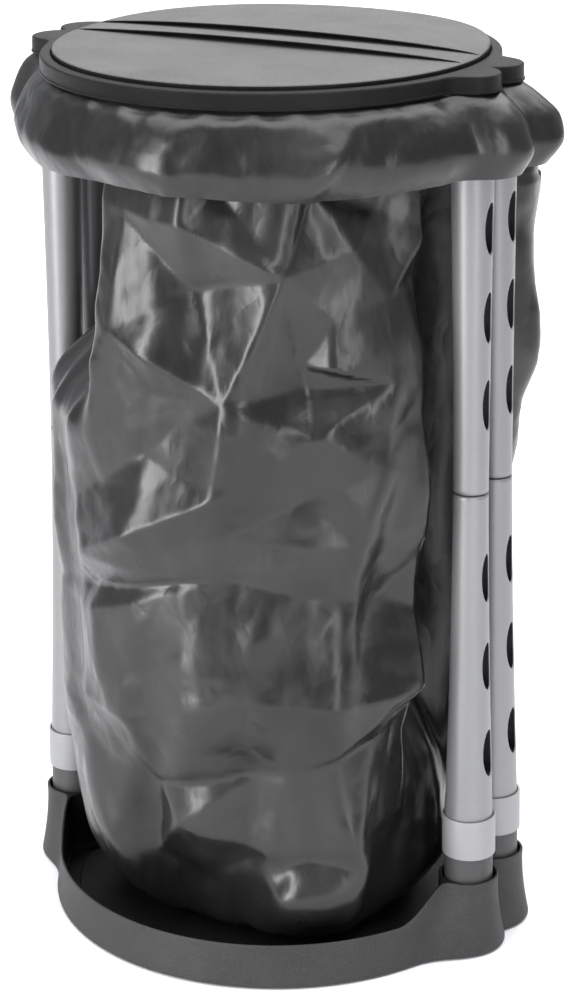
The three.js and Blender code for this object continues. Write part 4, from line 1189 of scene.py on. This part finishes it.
def black_film():
    """Thin glossy refuse-bag film: near black, a little milky in patches, with sharp fine creases.

    The creases are the folded-up valleys of three sizes of noise, so each is a crisp line."""
    paint = Paint("black_film", Specular_IOR_Level=0.55)
    patch = paint.ramp(paint.noise(7, 2, (1, 1, 0.7)), 0.45, 0.65)
    streak = paint.noise(120, 4, (1, 1, 0.12), 0.6)
    paint.colour(patch * 0.8 + 0.2 * streak, grey(0.005), grey(0.020))
    paint.roughness(0.26 + 0.10 * paint.ramp(streak, 0.3, 0.7))
    folds = [
        paint.math("ABSOLUTE", paint.noise(scale, 1, (1, 1, 0.8)) - 0.5) * share
        for scale, share in ((8, 1.0), (21, 0.4), (55, 0.12))
    ]
    paint.bump(folds[0] + folds[1] + folds[2], 0.014, 0.40)
    return paint.material


def rubber():
    """Black rubber with a dusty, open surface."""
    paint = Paint("foot_rubber")
    dust = paint.noise(420, 4)
    paint.colour(paint.ramp(dust, 0.4, 0.8), grey(0.010), grey(0.030))
    paint.roughness(0.75 + 0.2 * dust)
    paint.bump(dust, 0.0001, 0.5)
    return paint.material


tray_finish = grained_plastic("tray_plastic", 0.018, 0.056, 0.55, 1100)
# Painted shade: the tray plastic made darker, for the tray's inside faces and the floor grid in its well.
well_shade_finish = grained_plastic("well_shade_plastic", 0.004, 0.010, 0.45, 1500, 0.25)
ring_finish = grained_plastic("ring_plastic", 0.0015, 0.004, 0.30, 2600, 0.2)
lid_finish = grained_plastic("lid_plastic", 0.042, 0.120, 0.58, 1000)
plug_finish = smooth_plastic("plug_plastic", 0.045, 0.065, 0.45)
black_finish = smooth_plastic("black_plastic", 0.012, 0.018, 0.45)
tube_finish = satin_metal("tube_metal", 0.27, 0.34, 0.5)
collar_finish = satin_metal("collar_metal", 0.34, 0.42, 0.3)
screw_finish = satin_metal("screw_zinc", 0.7, 0.3, 1.0)
film_finish = black_film()
rubber_finish = rubber()


# ---------------------------------------------------------------- camera, floor and light
CAMERA_AZIMUTH = 27.94
CAMERA_ELEVATION = 19.84
CAMERA_ROLL = -0.53
CAMERA_DISTANCE = 2.614
CAMERA_TARGET = Vector((-0.0102, 0.0350, 0.3839))
CAMERA_LENS = 98.8
CAMERA_SENSOR = 36.0


def aim(obj, target, roll=0.0):
    """Points an object's -Z at the target, with its X level and then rolled."""
    forward = (target - obj.location).normalized()
    right = forward.cross(Vector((0, 0, 1))).normalized()
    up = right.cross(forward)
    turn = Matrix((right, up, -forward)).transposed()
    obj.rotation_euler = (turn @ Matrix.Rotation(math.radians(roll), 3, "Z")).to_euler()


def camera():
    """The camera: out from its target by azimuth and elevation, with a trace of roll."""
    azimuth, elevation = math.radians(CAMERA_AZIMUTH), math.radians(CAMERA_ELEVATION)
    back = Vector((math.sin(azimuth), -math.cos(azimuth), math.tan(elevation))).normalized()
    data = bpy.data.cameras.new("camera")
    data.sensor_fit = "VERTICAL"
    data.sensor_height = CAMERA_SENSOR
    data.lens = CAMERA_LENS
    obj = bpy.data.objects.new("camera", data)
    bpy.context.scene.collection.objects.link(obj)
    obj.location = CAMERA_TARGET + CAMERA_DISTANCE * back
    aim(obj, CAMERA_TARGET, CAMERA_ROLL)
    bpy.context.scene.camera = obj


def soft_light(name, place, target, size, watts):
    """A rectangular light at a place, turned to a target."""
    data = bpy.data.lights.new(name, "AREA")
    data.shape = "RECTANGLE"
    data.size, data.size_y = size
    data.energy = watts
    obj = bpy.data.objects.new(name, data)
    bpy.context.scene.collection.objects.link(obj)
    obj.location = place
    aim(obj, Vector(target))


def studio():
    """A pale floor, an even pale sky and soft lights from the front left, the right, above and behind."""
    paint = Paint("floor_paint")
    paint.colour(paint.noise(2.0, 2), grey(0.9), grey(0.93))
    paint.roughness(0.8 + 0.1 * paint.noise(30, 2))
    size = 30.0
    corners = np.array([[(-size, -size, 0), (size, -size, 0)], [(-size, size, 0), (size, size, 0)]])
    floor = make_mesh("floor", corners, grid_faces(2, 2, closed_columns=False))
    floor.data.materials.append(paint.material)
    world = bpy.data.worlds.new("studio")
    world.use_nodes = True
    world.node_tree.nodes["Background"].inputs["Color"].default_value = (0.95, 0.97, 1.0, 1)
    world.node_tree.nodes["Background"].inputs["Strength"].default_value = 0.42
    bpy.context.scene.world = world
    bpy.context.scene.view_settings.view_transform = "Standard"
    soft_light("key", (-1.1, -2.7, 1.35), (0, 0, 1.1), (0.8, 2.6), 85)
    soft_light("fill", (2.3, -1.9, 1.3), (0, 0, 1.1), (0.5, 2.4), 26)
    soft_light("top", (0.0, 0.8, 4.5), (0, 0, 0.0), (6.0, 6.0), 380)
    soft_light("back", (-2.0, 6.5, 4.0), (-2.0, 6.6, 0.0), (7.0, 6.0), 320)


# ---------------------------------------------------------------- assembly
def set_finish(objects, finish):
    """Makes a finish the only one on each object."""
    for obj in objects:
        obj.data.materials.clear()
        obj.data.materials.append(finish)


def finish_kept_nodes():
    """Gives the frame's own nodes that stay in view their finishes."""
    finishes = {
        # Painted shade: the floor grid in the tray's well gets the darker tray plastic.
        "floor_grid": well_shade_finish,
        "support_ring": black_finish,
        "hinge_pin": screw_finish,
        "leg_screw": screw_finish,
        "ring_screw": screw_finish,
        "top_plug": black_finish,
        "rubber_foot": rubber_finish,
    }
    for name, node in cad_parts.items():
        for start, finish in finishes.items():
            if name.startswith(start):
                set_finish([node], finish)


def build():
    """Makes every piece, and says what it rides on, stands for and is finished in."""
    camera()
    studio()
    finish_kept_nodes()
    for side_x in SIDES:
        for side_y in SIDES:
            corner = ("rear_" if side_y > 0 else "front_") + ("right" if side_x > 0 else "left")
            leg(side_x, side_y, corner)
    tray = base_tray()
    set_finish([tray], tray_finish)
    # Painted shade: the tray's top and inside faces get the darker tray plastic.
    paint_shade_on(tray, well_shade_finish, tray_shade_faces)
    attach(tray, "root")
    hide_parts("base_tray")
    ring, lugs = clamp_ring(), hinge_lugs()
    set_finish([ring, *lugs], ring_finish)
    for piece in (ring, *lugs):
        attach(piece, "clamp_ring")
    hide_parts("clamp_ring")
    shell, arms = lid(), lid_arms()
    set_finish([shell, *arms], lid_finish)
    # Painted shade: the lid's rim and step risers take the ring's black plastic.
    paint_shade_on(shell, ring_finish, lid_shade_faces)
    for piece in (shell, *arms):
        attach(piece, "lid")
    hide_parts("lid")
    film = waste_bag()
    set_finish([film], film_finish)
    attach(film, "root")
    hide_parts("waste_bag")


build()
